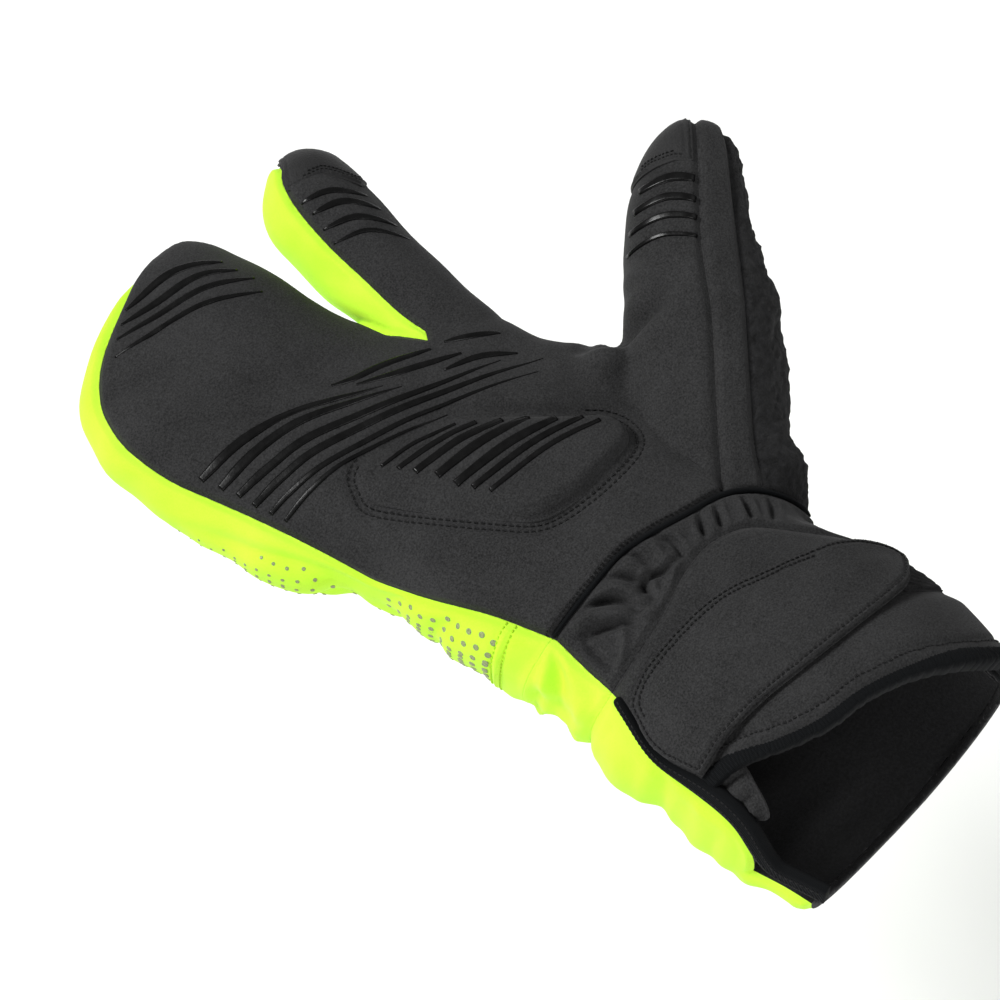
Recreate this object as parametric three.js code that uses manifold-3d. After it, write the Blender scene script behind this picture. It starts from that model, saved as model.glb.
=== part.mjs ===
// A right-hand lobster claw mitt for winter cycling: a wide lobe for three fingers, a separate index
// finger and a thumb, with a padded black palm, a high-visibility back, a gathered wrist and a cuff
// that closes with a wide tab. It keeps the form it has on a hand. Millimetres, +Z up: +Y runs along
// the fingers, +Z out of the palm, +X towards the thumb, and the origin is the centre of the cuff's
// opening, where the hand goes in.
import * as THREE from "three";
import Module from "manifold-3d";

const wasm = await Module();
wasm.setup();

// Driving dimensions
const CUFF_LENGTH = 88;
const CUFF_WIDTH = 108;
const CUFF_DEPTH = 74;
const PALM_LENGTH = 128;
const PALM_WIDTH = 104;
const PALM_DEPTH = 50;
const LOBE_LENGTH = 84;
const LOBE_WIDTH = 90;
const LOBE_DEPTH = 37;
const INDEX_LENGTH = 104;
const INDEX_WIDTH = 36;
const INDEX_DEPTH = 32;
const INDEX_HEADING = 12;
const THUMB_LENGTH = 106;
const THUMB_WIDTH = 48;
const THUMB_DEPTH = 38;
const THUMB_HEADING = 54;
const THUMB_PITCH = 13;
const WALL = 3;
const CUFF_WALL = 2.4;
const PANEL_GAP = 0.35;
const SEAT_GAP = 0.45;
const SEAM_LEVEL = -3;
const SEAM_RISE = 3.5;
const GRIP_HEIGHT = 0.8;
const GRIP_WIDTH = 2.4;
const PAD_HEIGHT = 2.6;
const PATCH_HEIGHT = 0.9;
const PIPING_WIDTH = 2.6;
const PIPING_HEIGHT = 1.8;
const TAB_THICKNESS = 2.2;
const BINDING_WIDTH = 4;
const BINDING_HEIGHT = 1.3;
const HEM_WIDTH = 8;
const RUFFLE_DEPTH = 2;
const RUFFLES = 11;
const RUFFLE_DRIFT = 3;
const GUSSET_THICKNESS = 1.4;
const GUSSET_LEVEL = 4;
const THUMB_TIP_LEVEL = 16;
const LOBE_GRIP_LEVEL = 2;
const THINNEST = 0.3;

// Colours and finishes
const finish = (color, roughness) => new THREE.MeshStandardMaterial({ color, roughness, metalness: 0 });
const SOFTSHELL = finish(0x2b2c2d, 0.9);
const NEON = finish(0xc8f51e, 0.75);
const FLEECE = finish(0x161616, 1);
const SILICONE = finish(0x0a0a0a, 0.25);
const BINDING = finish(0x1b2224, 0.8);
const PATCH = finish(0x1f1f20, 0.7);

// Where each stretch begins along the glove
const PALM_START = CUFF_LENGTH;
const LOBE_START = PALM_START + PALM_LENGTH;
const GLOVE_LENGTH = LOBE_START + LOBE_LENGTH;
const INDEX_ROOT = new THREE.Vector3(0.38 * PALM_WIDTH, PALM_START + 0.78 * PALM_LENGTH, -1);
const THUMB_ROOT = new THREE.Vector3(0.56 * PALM_WIDTH, PALM_START + 0.235 * PALM_LENGTH, 3);

// Sections, as shares of the length, width and depth of their stretch. shift moves the middle across,
// lift moves it up, half is half the width, palm and back are the heights above and below the middle,
// and turn is the section's turn in plan, in degrees.
const CUFF_SECTIONS = [
  { along: -0.2, shift: -0.034, lift: 0, half: 0.445, palm: 0.45, back: 0.45, turn: 12 },
  { along: 0.06, shift: -0.02, lift: 0, half: 0.458, palm: 0.468, back: 0.46, turn: 12 },
  { along: 0.28, shift: -0.012, lift: 0, half: 0.488, palm: 0.5, back: 0.493, turn: 14 },
  { along: 0.51, shift: 0.02, lift: 0, half: 0.493, palm: 0.5, back: 0.5, turn: 14 },
  { along: 0.74, shift: 0.034, lift: 0, half: 0.492, palm: 0.48, back: 0.48, turn: 14 },
  { along: 0.9, shift: 0.032, lift: 0, half: 0.465, palm: 0.43, back: 0.43, turn: 12 },
];
const PALM_SECTIONS = [
  { along: 0.03, shift: 0.043, lift: 0, half: 0.471, palm: 0.57, back: 0.57, turn: 10 },
  { along: 0.235, shift: 0.045, lift: 0, half: 0.48, palm: 0.53, back: 0.52, turn: 4 },
  { along: 0.36, shift: 0.055, lift: 0, half: 0.5, palm: 0.52, back: 0.5, turn: 1 },
  { along: 0.5, shift: 0.096, lift: 0, half: 0.519, palm: 0.5, back: 0.49, turn: 0 },
  { along: 0.6, shift: 0.1, lift: 0, half: 0.525, palm: 0.49, back: 0.48, turn: 0 },
  { along: 0.7, shift: 0.064, lift: 0, half: 0.508, palm: 0.475, back: 0.475, turn: 0 },
  { along: 0.88, shift: -0.014, lift: 0, half: 0.538, palm: 0.43, back: 0.44, turn: 0 },
];
const LOBE_SECTIONS = [
  { along: 0, shift: -0.133, lift: 0, half: 0.528, palm: 0.54, back: 0.54, turn: 0 },
  { along: 0.19, shift: -0.178, lift: 0, half: 0.506, palm: 0.5, back: 0.5, turn: 0 },
  { along: 0.38, shift: -0.183, lift: 0.014, half: 0.483, palm: 0.486, back: 0.486, turn: 0 },
  { along: 0.56, shift: -0.181, lift: 0.027, half: 0.47, palm: 0.46, back: 0.46, turn: 0 },
  { along: 0.71, shift: -0.156, lift: 0.04, half: 0.444, palm: 0.42, back: 0.42, turn: 0 },
  { along: 0.82, shift: -0.126, lift: 0.054, half: 0.409, palm: 0.35, back: 0.35, turn: 0 },
  { along: 0.905, shift: -0.089, lift: 0.068, half: 0.34, palm: 0.27, back: 0.27, turn: 0 },
  { along: 0.96, shift: -0.028, lift: 0.075, half: 0.235, palm: 0.18, back: 0.18, turn: 0 },
  { along: 0.99, shift: 0.01, lift: 0.08, half: 0.11, palm: 0.07, back: 0.07, turn: 0 },
];
// The two fingers: along is the share of the finger's length from its root, shift moves the middle to
// the outer side.
const INDEX_SECTIONS = [
  { along: -0.1, shift: 0, lift: 0, half: 0.4, palm: 0.45, back: 0.45, turn: 0 },
  { along: 0.04, shift: 0, lift: 0, half: 0.44, palm: 0.48, back: 0.48, turn: 0 },
  { along: 0.2, shift: -0.03, lift: 0, half: 0.47, palm: 0.48, back: 0.48, turn: 0 },
  { along: 0.33, shift: -0.01, lift: 0, half: 0.45, palm: 0.47, back: 0.47, turn: 0 },
  { along: 0.57, shift: -0.03, lift: 0, half: 0.48, palm: 0.5, back: 0.5, turn: 0 },
  { along: 0.71, shift: -0.02, lift: 0, half: 0.5, palm: 0.5, back: 0.5, turn: 0 },
  { along: 0.83, shift: 0, lift: 0.02, half: 0.48, palm: 0.465, back: 0.465, turn: 0 },
  { along: 0.91, shift: 0.025, lift: 0.03, half: 0.41, palm: 0.4, back: 0.4, turn: 0 },
  { along: 0.97, shift: 0.06, lift: 0.05, half: 0.25, palm: 0.23, back: 0.23, turn: 0 },
  { along: 0.995, shift: 0.07, lift: 0.05, half: 0.1, palm: 0.08, back: 0.08, turn: 0 },
];
const THUMB_SECTIONS = [
  { along: -0.3, shift: 0.135, lift: -0.02, half: 0.585, palm: 0.52, back: 0.5, turn: 0 },
  { along: -0.08, shift: 0.055, lift: 0, half: 0.545, palm: 0.54, back: 0.54, turn: 0 },
  { along: 0.24, shift: -0.005, lift: 0, half: 0.56, palm: 0.52, back: 0.52, turn: 0 },
  { along: 0.38, shift: 0.02, lift: 0, half: 0.51, palm: 0.55, back: 0.5, turn: 0 },
  { along: 0.55, shift: -0.035, lift: 0, half: 0.47, palm: 0.49, back: 0.47, turn: 0 },
  { along: 0.71, shift: -0.06, lift: 0, half: 0.407, palm: 0.43, back: 0.42, turn: 0 },
  { along: 0.81, shift: -0.04, lift: 0, half: 0.365, palm: 0.38, back: 0.37, turn: 0 },
  { along: 0.9, shift: -0.01, lift: 0, half: 0.3, palm: 0.32, back: 0.31, turn: 0 },
  { along: 0.96, shift: 0, lift: 0, half: 0.2, palm: 0.22, back: 0.22, turn: 0 },
  { along: 0.99, shift: 0, lift: 0, half: 0.1, palm: 0.11, back: 0.11, turn: 0 },
];

// Dents of the worn cloth: where each one is (share of the width, and the count of stretches), on
// the palm side (1) or the back (-1), how wide, long and deep it is as shares of the width, the
// glove's length and the palm's depth. A negative depth is a bulge.
const FOLDS = [
  { across: 0.06, along: 1.62, face: 1, wide: 0.2, long: 0.07, deep: 0.05 },
  { across: 0.44, along: 1.5, face: 1, wide: 0.1, long: 0.05, deep: 0.06 },
  { across: -0.12, along: 2.168, face: 1, wide: 0.45, long: 0.035, deep: 0.035 },
  { across: -0.3, along: 1.42, face: 1, wide: 0.14, long: 0.07, deep: -0.04 },
  { across: -0.08, along: 2.314, face: -1, wide: 0.1, long: 0.14, deep: 0.03 },
  { across: 0.02, along: 1.95, face: -1, wide: 0.5, long: 0.04, deep: -0.05 },
  { across: -0.36, along: 0.52, face: -1, wide: 0.16, long: 0.04, deep: 0.07 },
  { across: 0.1, along: 0.36, face: -1, wide: 0.3, long: 0.035, deep: 0.05 },
  { across: 0.05, along: 1.12, face: -1, wide: 0.4, long: 0.035, deep: 0.07 },
];

// The three stretches of the main tube in one list, in millimetres
const stretch = (rows, start, length, width, depth) =>
  rows.map((row) => ({
    along: start + row.along * length,
    shift: row.shift * width,
    lift: row.lift * depth,
    half: row.half * width,
    palm: row.palm * depth,
    back: row.back * depth,
    turn: row.turn,
  }));
const HAND_TUBE = {
  root: new THREE.Vector3(0, 0, 0),
  heading: 0,
  pitch: 0,
  square: 2.35,
  sides: 28,
  folded: true,
  tip: GLOVE_LENGTH,
  rows: [
    ...stretch(CUFF_SECTIONS, 0, CUFF_LENGTH, CUFF_WIDTH, CUFF_DEPTH),
    ...stretch(PALM_SECTIONS, PALM_START, PALM_LENGTH, PALM_WIDTH, PALM_DEPTH),
    ...stretch(LOBE_SECTIONS, LOBE_START, LOBE_LENGTH, LOBE_WIDTH, LOBE_DEPTH),
  ],
};
const INDEX_TUBE = {
  root: INDEX_ROOT,
  heading: INDEX_HEADING,
  pitch: 0,
  square: 2.1,
  sides: 14,
  tip: INDEX_LENGTH,
  rows: stretch(INDEX_SECTIONS, 0, INDEX_LENGTH, INDEX_WIDTH, INDEX_DEPTH),
};
const THUMB_TUBE = {
  root: THUMB_ROOT,
  heading: THUMB_HEADING,
  pitch: THUMB_PITCH,
  square: 2.1,
  sides: 16,
  tip: THUMB_LENGTH,
  rows: stretch(THUMB_SECTIONS, 0, THUMB_LENGTH, THUMB_WIDTH, THUMB_DEPTH),
};

// A point in plan from shares: the second one counts the stretches, so 0 is the cuff's opening, 1 the
// wrist, 2 the fork of the fingers and 3 the lobe's tip, and the first is a share of the width there.
const STRETCH_ENDS = [0, PALM_START, LOBE_START, GLOVE_LENGTH];
const STRETCH_WIDTHS = [CUFF_WIDTH, PALM_WIDTH, LOBE_WIDTH, LOBE_WIDTH];
function onHand([across, along]) {
  const stage = THREE.MathUtils.clamp(Math.floor(along), 0, 2);
  const between = (list) => THREE.MathUtils.lerp(list[stage], list[stage + 1], along - stage);
  return [across * between(STRETCH_WIDTHS), between(STRETCH_ENDS)];
}
// How deep the hand's cloth is pressed in at a place in plan, on one of its faces
function foldDepth(x, y, face) {
  return FOLDS.filter((fold) => fold.face === face).reduce((depth, fold) => {
    const [middleX, middleY] = onHand([fold.across, fold.along]);
    const [dx, dy] = [(x - middleX) / (fold.wide * PALM_WIDTH), (y - middleY) / (fold.long * GLOVE_LENGTH)];
    return depth + fold.deep * PALM_DEPTH * Math.exp(-(dx * dx + dy * dy) / 2);
  }, 0);
}

// One ring of a tube, grown by an offset from its true surface. Near a closed end the offset also
// moves the ring outwards along the tube.
const signedPower = (value, power) => Math.sign(value) * Math.abs(value) ** power;
function ringOf(tube, row, grow, ruffle) {
  const heading = THREE.MathUtils.degToRad(tube.heading);
  const turned = THREE.MathUtils.degToRad(tube.heading + row.turn);
  const pitch = THREE.MathUtils.degToRad(tube.pitch);
  const forward = new THREE.Vector3(
    Math.sin(heading) * Math.cos(pitch), Math.cos(heading) * Math.cos(pitch), Math.sin(pitch));
  const sideways = new THREE.Vector3(Math.cos(heading), -Math.sin(heading), 0);
  const across = new THREE.Vector3(Math.cos(turned), -Math.sin(turned), 0);
  const up = new THREE.Vector3().crossVectors(sideways, forward);
  const widest = Math.max(...tube.rows.map((other) => other.half));
  const past = row.along > tube.tip / 2 ? grow * (1 - row.half / widest) : 0;
  const middle = tube.root.clone()
    .addScaledVector(forward, row.along + past)
    .addScaledVector(sideways, row.shift)
    .addScaledVector(up, row.lift);
  const ring = [];
  for (let side = 0; side < tube.sides; side += 1) {
    const angle = (2 * Math.PI * side) / tube.sides;
    const [reach, rise] = [Math.cos(angle), Math.sin(angle)];
    const pointAt = (swell) => {
      const point = middle.clone()
        .addScaledVector(across, Math.max(row.half + swell, THINNEST) * signedPower(reach, 2 / tube.square))
        .addScaledVector(up, Math.max((rise > 0 ? row.palm : row.back) + swell, THINNEST)
          * signedPower(rise, 2 / tube.square));
      if (tube.folded) point.z -= foldDepth(point.x, point.y, Math.sign(rise)) * rise;
      return point;
    };
    ring.push(pointAt(grow + (ruffle ? ruffle(pointAt(grow), angle) : 0)));
  }
  return ring;
}

// A closed solid from points and triangles
function solidOf(points, triangles) {
  const vertProperties = new Float32Array(points.flatMap((point) => [point.x, point.y, point.z]));
  const mesh = new wasm.Mesh({ numProp: 3, vertProperties, triVerts: new Uint32Array(triangles.flat()) });
  return new wasm.Manifold(mesh);
}

// A tube skinned over its rings, with a flat end on each side
function loft(rings) {
  const sides = rings[0].length;
  const points = rings.flat();
  const triangles = [];
  rings.slice(1).forEach((_, row) => {
    for (let side = 0; side < sides; side += 1) {
      const next = (side + 1) % sides;
      const [a, b] = [row * sides + side, row * sides + next];
      triangles.push([a, a + sides, b + sides], [a, b + sides, b]);
    }
  });
  const middleOf = (ring) => ring.reduce((sum, point) => sum.add(point), new THREE.Vector3())
    .divideScalar(sides);
  const first = points.push(middleOf(rings[0])) - 1;
  const last = points.push(middleOf(rings.at(-1))) - 1;
  const top = (rings.length - 1) * sides;
  for (let side = 0; side < sides; side += 1) {
    const next = (side + 1) % sides;
    triangles.push([first, side, next], [last, top + next, top + side]);
  }
  return solidOf(points, triangles);
}
const tubeSolid = (tube, grow, rows = tube.rows, ruffle = null) =>
  loft(rows.map((row) => ringOf(tube, row, grow, ruffle)));

// A tube's rows at even steps between two places along it
function rowsBetween(tube, from, to, steps) {
  return Array.from({ length: steps + 1 }, (_, step) => {
    const along = THREE.MathUtils.lerp(from, to, step / steps);
    const end = Math.max(tube.rows.findIndex((row) => row.along >= along), 1);
    const [low, high] = [tube.rows[end - 1], tube.rows[end]];
    const share = (along - low.along) / (high.along - low.along);
    const between = (key) => THREE.MathUtils.lerp(low[key], high[key], share);
    return Object.fromEntries(Object.keys(low).map((key) => [key, between(key)]));
  });
}

// The whole glove as one solid, grown by an offset from its outer surface. Its hollow needs fewer sides.
const PALM_TUBE = { ...HAND_TUBE, rows: HAND_TUBE.rows.slice(CUFF_SECTIONS.length - 2) };
const HOLLOW_SIDES = 16;
const whole = (tube) => tube;
const hollow = (tube) => ({ ...tube, sides: Math.min(tube.sides, HOLLOW_SIDES) });
const gloveSolid = (grow, form = whole) => [PALM_TUBE, INDEX_TUBE, THUMB_TUBE]
  .map((tube) => tubeSolid(form(tube), grow))
  .reduce((joined, solid) => joined.add(solid));

// An upright prism over an outline in plan, between two heights that may slope
const TOP = 90;
const BOTTOM = -70;
function prism(outline, low = () => BOTTOM, high = () => TOP) {
  const flat = outline.map(([x, y]) => new THREE.Vector2(x, y));
  if (THREE.ShapeUtils.isClockWise(flat)) flat.reverse();
  const faces = THREE.ShapeUtils.triangulateShape(flat, []);
  const count = flat.length;
  const points = [low, high].flatMap((level) =>
    flat.map(({ x, y }) => new THREE.Vector3(x, y, level(x, y))));
  const triangles = faces.flatMap(([a, b, c]) => [[c, b, a], [a + count, b + count, c + count]]);
  flat.forEach((_, corner) => {
    const next = (corner + 1) % count;
    triangles.push([corner, next, next + count], [corner, next + count, corner + count]);
  });
  return solidOf(points, triangles);
}

// The same for a finger, as shares of its width and length
const onFinger = (tube, width) => ([across, along]) => {
  const heading = THREE.MathUtils.degToRad(tube.heading);
  const reach = along * tube.tip * Math.cos(THREE.MathUtils.degToRad(tube.pitch));
  return [
    tube.root.x + reach * Math.sin(heading) + across * width * Math.cos(heading),
    tube.root.y + reach * Math.cos(heading) - across * width * Math.sin(heading),
  ];
};
const onIndex = onFinger(INDEX_TUBE, INDEX_WIDTH);
const onThumb = onFinger(THUMB_TUBE, THUMB_WIDTH);

function smooth(points, steps, closed = false) {
  const curve = new THREE.CatmullRomCurve3(points.map(([x, y]) => new THREE.Vector3(x, y, 0)), closed);
  const found = curve.getPoints(steps).map(({ x, y }) => [x, y]);
  return closed ? found.slice(0, -1) : found;
}
// A line moved sideways with mitred corners, and a strip of a given width along a line
const SHARPEST_MITRE = 0.4;
function beside(line, distance) {
  const normals = line.slice(1).map(([x, y], index) => {
    const [dx, dy] = [x - line[index][0], y - line[index][1]];
    return [-dy / Math.hypot(dx, dy), dx / Math.hypot(dx, dy)];
  });
  return line.map(([x, y], index) => {
    const [a, b] = [normals[Math.max(index - 1, 0)], normals[Math.min(index, normals.length - 1)]];
    const reach = distance / Math.max(1 + a[0] * b[0] + a[1] * b[1], SHARPEST_MITRE);
    return [x + (a[0] + b[0]) * reach, y + (a[1] + b[1]) * reach];
  });
}
const strip = (line, left, right) => [...beside(line, left), ...beside(line, -right).reverse()];
function grown(outline, distance) {
  const flat = outline.map(([x, y]) => new THREE.Vector2(x, y));
  const outward = THREE.ShapeUtils.isClockWise(flat) ? distance : -distance;
  const ends = [outline.at(-1), ...outline, outline[0]];
  return beside(ends, outward).slice(1, -1);
}

// The parts of the plan that lie beyond a line across the glove, and short of it
const FAR = 400;
const beyond = (line) => [
  [-FAR, line[0][1]], ...line, [FAR, line.at(-1)[1]], [FAR, FAR], [-FAR, FAR]];
const shortOf = (line) => [
  [-FAR, line[0][1]], ...line, [FAR, line.at(-1)[1]], [FAR, -FAR], [-FAR, -FAR]];

// Seams in plan: [across, along]
const CUFF_ULNAR_SEAM = smooth([
  [-0.47, -0.15], [-0.48, 0.12], [-0.49, 0.28], [-0.46, 0.43], [-0.44, 0.61], [-0.42, 0.8],
  [-0.35, 1.01], [-0.33, 1.1], [-0.31, 1.2],
].map(onHand), 13);
const HAND_ULNAR_SEAM = smooth([
  [-0.31, 1.2], [-0.35, 1.34], [-0.41, 1.52], [-0.46, 1.68], [-0.51, 1.86], [-0.56, 2.126],
  [-0.59, 2.346], [-0.58, 2.555], [-0.53, 2.7], [-0.47, 2.78], [-0.38, 2.85], [-0.25, 2.91],
  [-0.13, 2.955], [0, 2.99], [0.15, 3.03], [0.36, 3],
].map(onHand), 24);
const LOBE_RADIAL_EDGE = [
  [0.41, 2.82], [0.36, 2.545], [0.34, 2.314], [0.335, 2.15], [0.335, 2.05], [0.36, 1.93]].map(onHand);
const INDEX_SEAM = smooth([
  [-0.24, 0.2], [-0.28, 0.31], [-0.29, 0.467], [-0.3, 0.613], [-0.26, 0.779], [-0.17, 0.893],
  [-0.04, 0.955], [0.1, 1.08],
].map(onIndex), 9);
const INDEX_OUTSIDE = [[0.75, 1.038], [0.75, 0.623], [0.7, 0.208]].map(onIndex);
const WEB_OUTSIDE = [[0.7, 1.7], [0.8, 1.62]].map(onHand);
const THUMB_OUTSIDE = [[-0.65, 0.206], [-0.75, 0.514], [-0.6, 0.925], [-0.25, 1.152]].map(onThumb);
const THUMB_SEAM = smooth([
  [0, 1.131], [0, 0.925], [0, 0.74], [0, 0.514], [0.05, 0.288], [0.06, 0.072], [0.07, -0.123], [0.09, -0.278],
].map(onThumb), 10);
const FLEECE_SEAM = smooth([
  [0.14, 1.131], [0.19, 0.977], [0.22, 0.864], [0.25, 0.617], [0.28, 0.36], [0.3, 0.082], [0.31, -0.082],
  [0.36, -0.226], [0.4, -0.411],
].map(onThumb), 10);
const FLEECE_BACK_SEAM = smooth([
  [-0.9, 0.37], [-0.5, 0.319], [-0.2, 0.154], [0.02, -0.051], [0.12, -0.308], [0.12, -0.72],
].map(onThumb), 9);
const PIPING_LINE = smooth([
  [-0.6, 1.23], [-0.31, 1.21], [-0.12, 1.2], [0.02, 1.19], [0.13, 1.16], [0.25, 1.12], [0.36, 1.09],
  [0.44, 1.05], [0.49, 0.99], [0.54, 0.88], [0.59, 0.75],
].map(onHand), 16);
const CUFF_SEAM = smooth([
  [-0.58, 1.07], [-0.43, 1.03], [-0.29, 1.02], [-0.1, 1.02], [0.08, 1.04], [0.21, 1.03], [0.32, 0.97],
  [0.39, 0.84], [0.47, 0.68], [0.53, 0.53], [0.6, 0.39],
].map(onHand), 15);
const PALM_HEM = smooth([
  [-0.57, 0.59], [-0.36, 0.47], [-0.25, 0.35], [-0.13, 0.28], [0.01, 0.24], [0.13, 0.17],
  [0.25, 0.09], [0.34, 0.02], [0.43, -0.03], [0.55, -0.09],
].map(onHand), 12);
const BACK_HEM = smooth([
  [-0.56, 0.1], [-0.45, 0.09], [-0.19, 0.05], [0.09, 0], [0.43, -0.05], [0.55, -0.07],
].map(onHand), 7);

// The shell of the hand, cut into its panels
const beyondPiping = prism(beyond(beside(PIPING_LINE, PANEL_GAP / 2)));
const handShell = gloveSolid(0).subtract(gloveSolid(-WALL, hollow)).intersect(beyondPiping);
const sideLevel = (x, y) => SEAM_LEVEL + (SEAM_RISE * y) / GLOVE_LENGTH;
const thumbLevel = (share) => (x, y) => {
  const heading = THREE.MathUtils.degToRad(THUMB_HEADING);
  const reach = (x - THUMB_ROOT.x) * Math.sin(heading) + (y - THUMB_ROOT.y) * Math.cos(heading);
  const rise = reach * Math.tan(THREE.MathUtils.degToRad(THUMB_PITCH));
  return THUMB_ROOT.z + rise + share * THUMB_DEPTH;
};
const lowered = (level, gap) => (x, y) => level(x, y) - gap;
const handOutline = [
  ...CUFF_ULNAR_SEAM.slice(-2, -1), ...HAND_ULNAR_SEAM, ...LOBE_RADIAL_EDGE, ...INDEX_SEAM,
  ...INDEX_OUTSIDE, ...WEB_OUTSIDE, ...THUMB_SEAM.slice(-4), onHand([0.19, 0]), [0, -FAR],
];
const thumbOutline = [onHand([0.46, 1.55]), ...THUMB_OUTSIDE, ...THUMB_SEAM.slice(0, -2)];
const palmPrism = (gap) => prism(grown(handOutline, gap), lowered(sideLevel, gap))
  .add(prism(grown(thumbOutline, gap), lowered(thumbLevel(-0.25), gap)));
const thumbSideOutline = [...THUMB_SEAM, ...FLEECE_SEAM.slice().reverse()];
const thumbSidePrism = (gap) => prism(grown(thumbSideOutline, gap), lowered(thumbLevel(0), gap));
const THUMB_SURROUND = [[1.6, -0.7], [1.6, 1.5], [-0.9, 1.5]].map(onThumb);
const fleeceOutline = [...FLEECE_BACK_SEAM, ...THUMB_SURROUND];

const palmPanel = handShell.intersect(palmPrism(0));
const besidePalm = handShell.subtract(palmPrism(PANEL_GAP));
const thumbSidePanel = besidePalm.intersect(thumbSidePrism(0));
const besideThumb = besidePalm.subtract(thumbSidePrism(PANEL_GAP));
const fleecePanel = besideThumb.intersect(prism(fleeceOutline));
const backPanel = besideThumb.subtract(prism(grown(fleeceOutline, PANEL_GAP)));

// The gathered wrist: ruffles that run along the glove and fade out at both of its seams
function levelOn(line, x) {
  const end = line.findIndex(([place]) => place > x);
  if (end <= 0) return end === 0 ? line[0][1] : line.at(-1)[1];
  const [[x0, y0], [x1, y1]] = [line[end - 1], line[end]];
  return THREE.MathUtils.mapLinear(x, x0, x1, y0, y1);
}
function ruffleAt(point, angle) {
  const low = levelOn(CUFF_SEAM, point.x);
  const share = THREE.MathUtils.clamp((point.y - low) / (levelOn(PIPING_LINE, point.x) - low), 0, 1);
  const uneven = RUFFLE_DRIFT * Math.sin(RUFFLE_DRIFT * angle);
  return (RUFFLE_DEPTH / 2) * Math.sin(Math.PI * share) * Math.cos(RUFFLES * angle + uneven);
}
const GATHER_REACH = [0.42, 1.4];
const GATHER_TUBE = { ...HAND_TUBE, sides: 4 * RUFFLES };
const [gatherStart, gatherEnd] = GATHER_REACH.map((along) => onHand([0, along])[1]);
const gatherRows = rowsBetween(HAND_TUBE, gatherStart, gatherEnd, 7);
const gatherSolid = (grow) => tubeSolid(GATHER_TUBE, grow, gatherRows, ruffleAt);
const gatherShell = gatherSolid(0)
  .subtract(tubeSolid(hollow(HAND_TUBE), -WALL, rowsBetween(HAND_TUBE, gatherStart, gatherEnd, 4)))
  .intersect(prism(shortOf(beside(PIPING_LINE, -PANEL_GAP / 2))))
  .intersect(prism(beyond(beside(CUFF_SEAM, PANEL_GAP / 2))));

// The cuff
const CUFF_RUN_ON = 4;
const CUFF_TUBE = { ...HAND_TUBE, rows: HAND_TUBE.rows.slice(0, CUFF_SECTIONS.length + CUFF_RUN_ON) };
const cuffTube = (grow, form = whole) => tubeSolid(form(CUFF_TUBE), grow);
const cuffShell = cuffTube(0).subtract(cuffTube(-CUFF_WALL, hollow))
  .intersect(prism(shortOf(beside(CUFF_SEAM, -PANEL_GAP / 2))));
const wristEnd = HAND_ULNAR_SEAM.at(3);
const wristOutline = [
  ...CUFF_ULNAR_SEAM, wristEnd, [FAR, wristEnd[1]], [FAR, CUFF_ULNAR_SEAM[0][1]]];
const wristPrism = (gap) => prism(grown(wristOutline, gap), lowered(sideLevel, gap));
const gatherPalm = gatherShell.intersect(wristPrism(0));
const gatherBack = gatherShell.subtract(wristPrism(PANEL_GAP));
const cuffPalm = cuffShell.intersect(wristPrism(0)).intersect(prism(beyond(PALM_HEM)));
const cuffBack = cuffShell.subtract(wristPrism(PANEL_GAP)).intersect(prism(beyond(BACK_HEM)));

// Pieces laid on the outside: a layer of the glove's or the cuff's skin, cut to an outline in plan
const layer = (solid, low, thickness) => solid(low + thickness).subtract(solid(low));
const onSkin = (outline, thickness, low = SEAT_GAP, level = SEAM_LEVEL) =>
  layer(gloveSolid, low, thickness).intersect(prism(outline, () => level));
const onCuff = (outline, thickness, low = SEAT_GAP, level = SEAM_LEVEL) =>
  layer(cuffTube, low, thickness).intersect(prism(outline, () => level));

const wristPiping = onSkin(
  strip(PIPING_LINE.slice(2), PIPING_WIDTH / 2, PIPING_WIDTH / 2), PIPING_HEIGHT)
  .subtract(gatherSolid(SEAT_GAP));
const tabOutline = smooth([
  [-0.37, 0.925], [-0.26, 0.97], [-0.1, 0.95], [0.05, 0.9], [0.16, 0.83], [0.28, 0.76], [0.4, 0.65],
  [0.455, 0.56], [0.46, 0.48], [0.42, 0.425], [0.34, 0.4], [0.14, 0.45], [-0.04, 0.51], [-0.18, 0.56],
  [-0.3, 0.59], [-0.42, 0.61], [-0.42, 0.8],
].map(onHand), 24, true);
const edgeStrip = strip(CUFF_ULNAR_SEAM.slice(2, 10), BINDING_WIDTH / 2, BINDING_WIDTH / 2);
const hemStrip = strip(PALM_HEM.slice(2, -2), HEM_WIDTH, -PANEL_GAP);
const loopOutline = [
  [0.36, 0.47], [0.47, 0.5], [0.49, 0.36], [0.475, 0.3], [0.42, 0.33], [0.36, 0.39]].map(onHand);
const clearOf = (solid, ...outlines) =>
  outlines.reduce((left, outline) => left.subtract(prism(grown(outline, SEAT_GAP))), solid);
const edgeBinding = onCuff(edgeStrip, BINDING_HEIGHT);
const closureTab = clearOf(onCuff(tabOutline, TAB_THICKNESS), edgeStrip);
const hemBinding = clearOf(onCuff(hemStrip, BINDING_HEIGHT), edgeStrip, tabOutline);
const loopTape = clearOf(onCuff(loopOutline, PATCH_HEIGHT), tabOutline, hemStrip);
const gussetOutline = [
  [-0.43, 0.52], [-0.3, 0.53], [-0.24, 0.42], [-0.3, 0.33], [-0.4, 0.26], [-0.45, 0.34]].map(onHand);
const ventGusset = layer(
  (grow) => cuffTube(grow, hollow), -CUFF_WALL - SEAT_GAP - GUSSET_THICKNESS, GUSSET_THICKNESS)
  .intersect(prism(gussetOutline, () => GUSSET_LEVEL));

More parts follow.
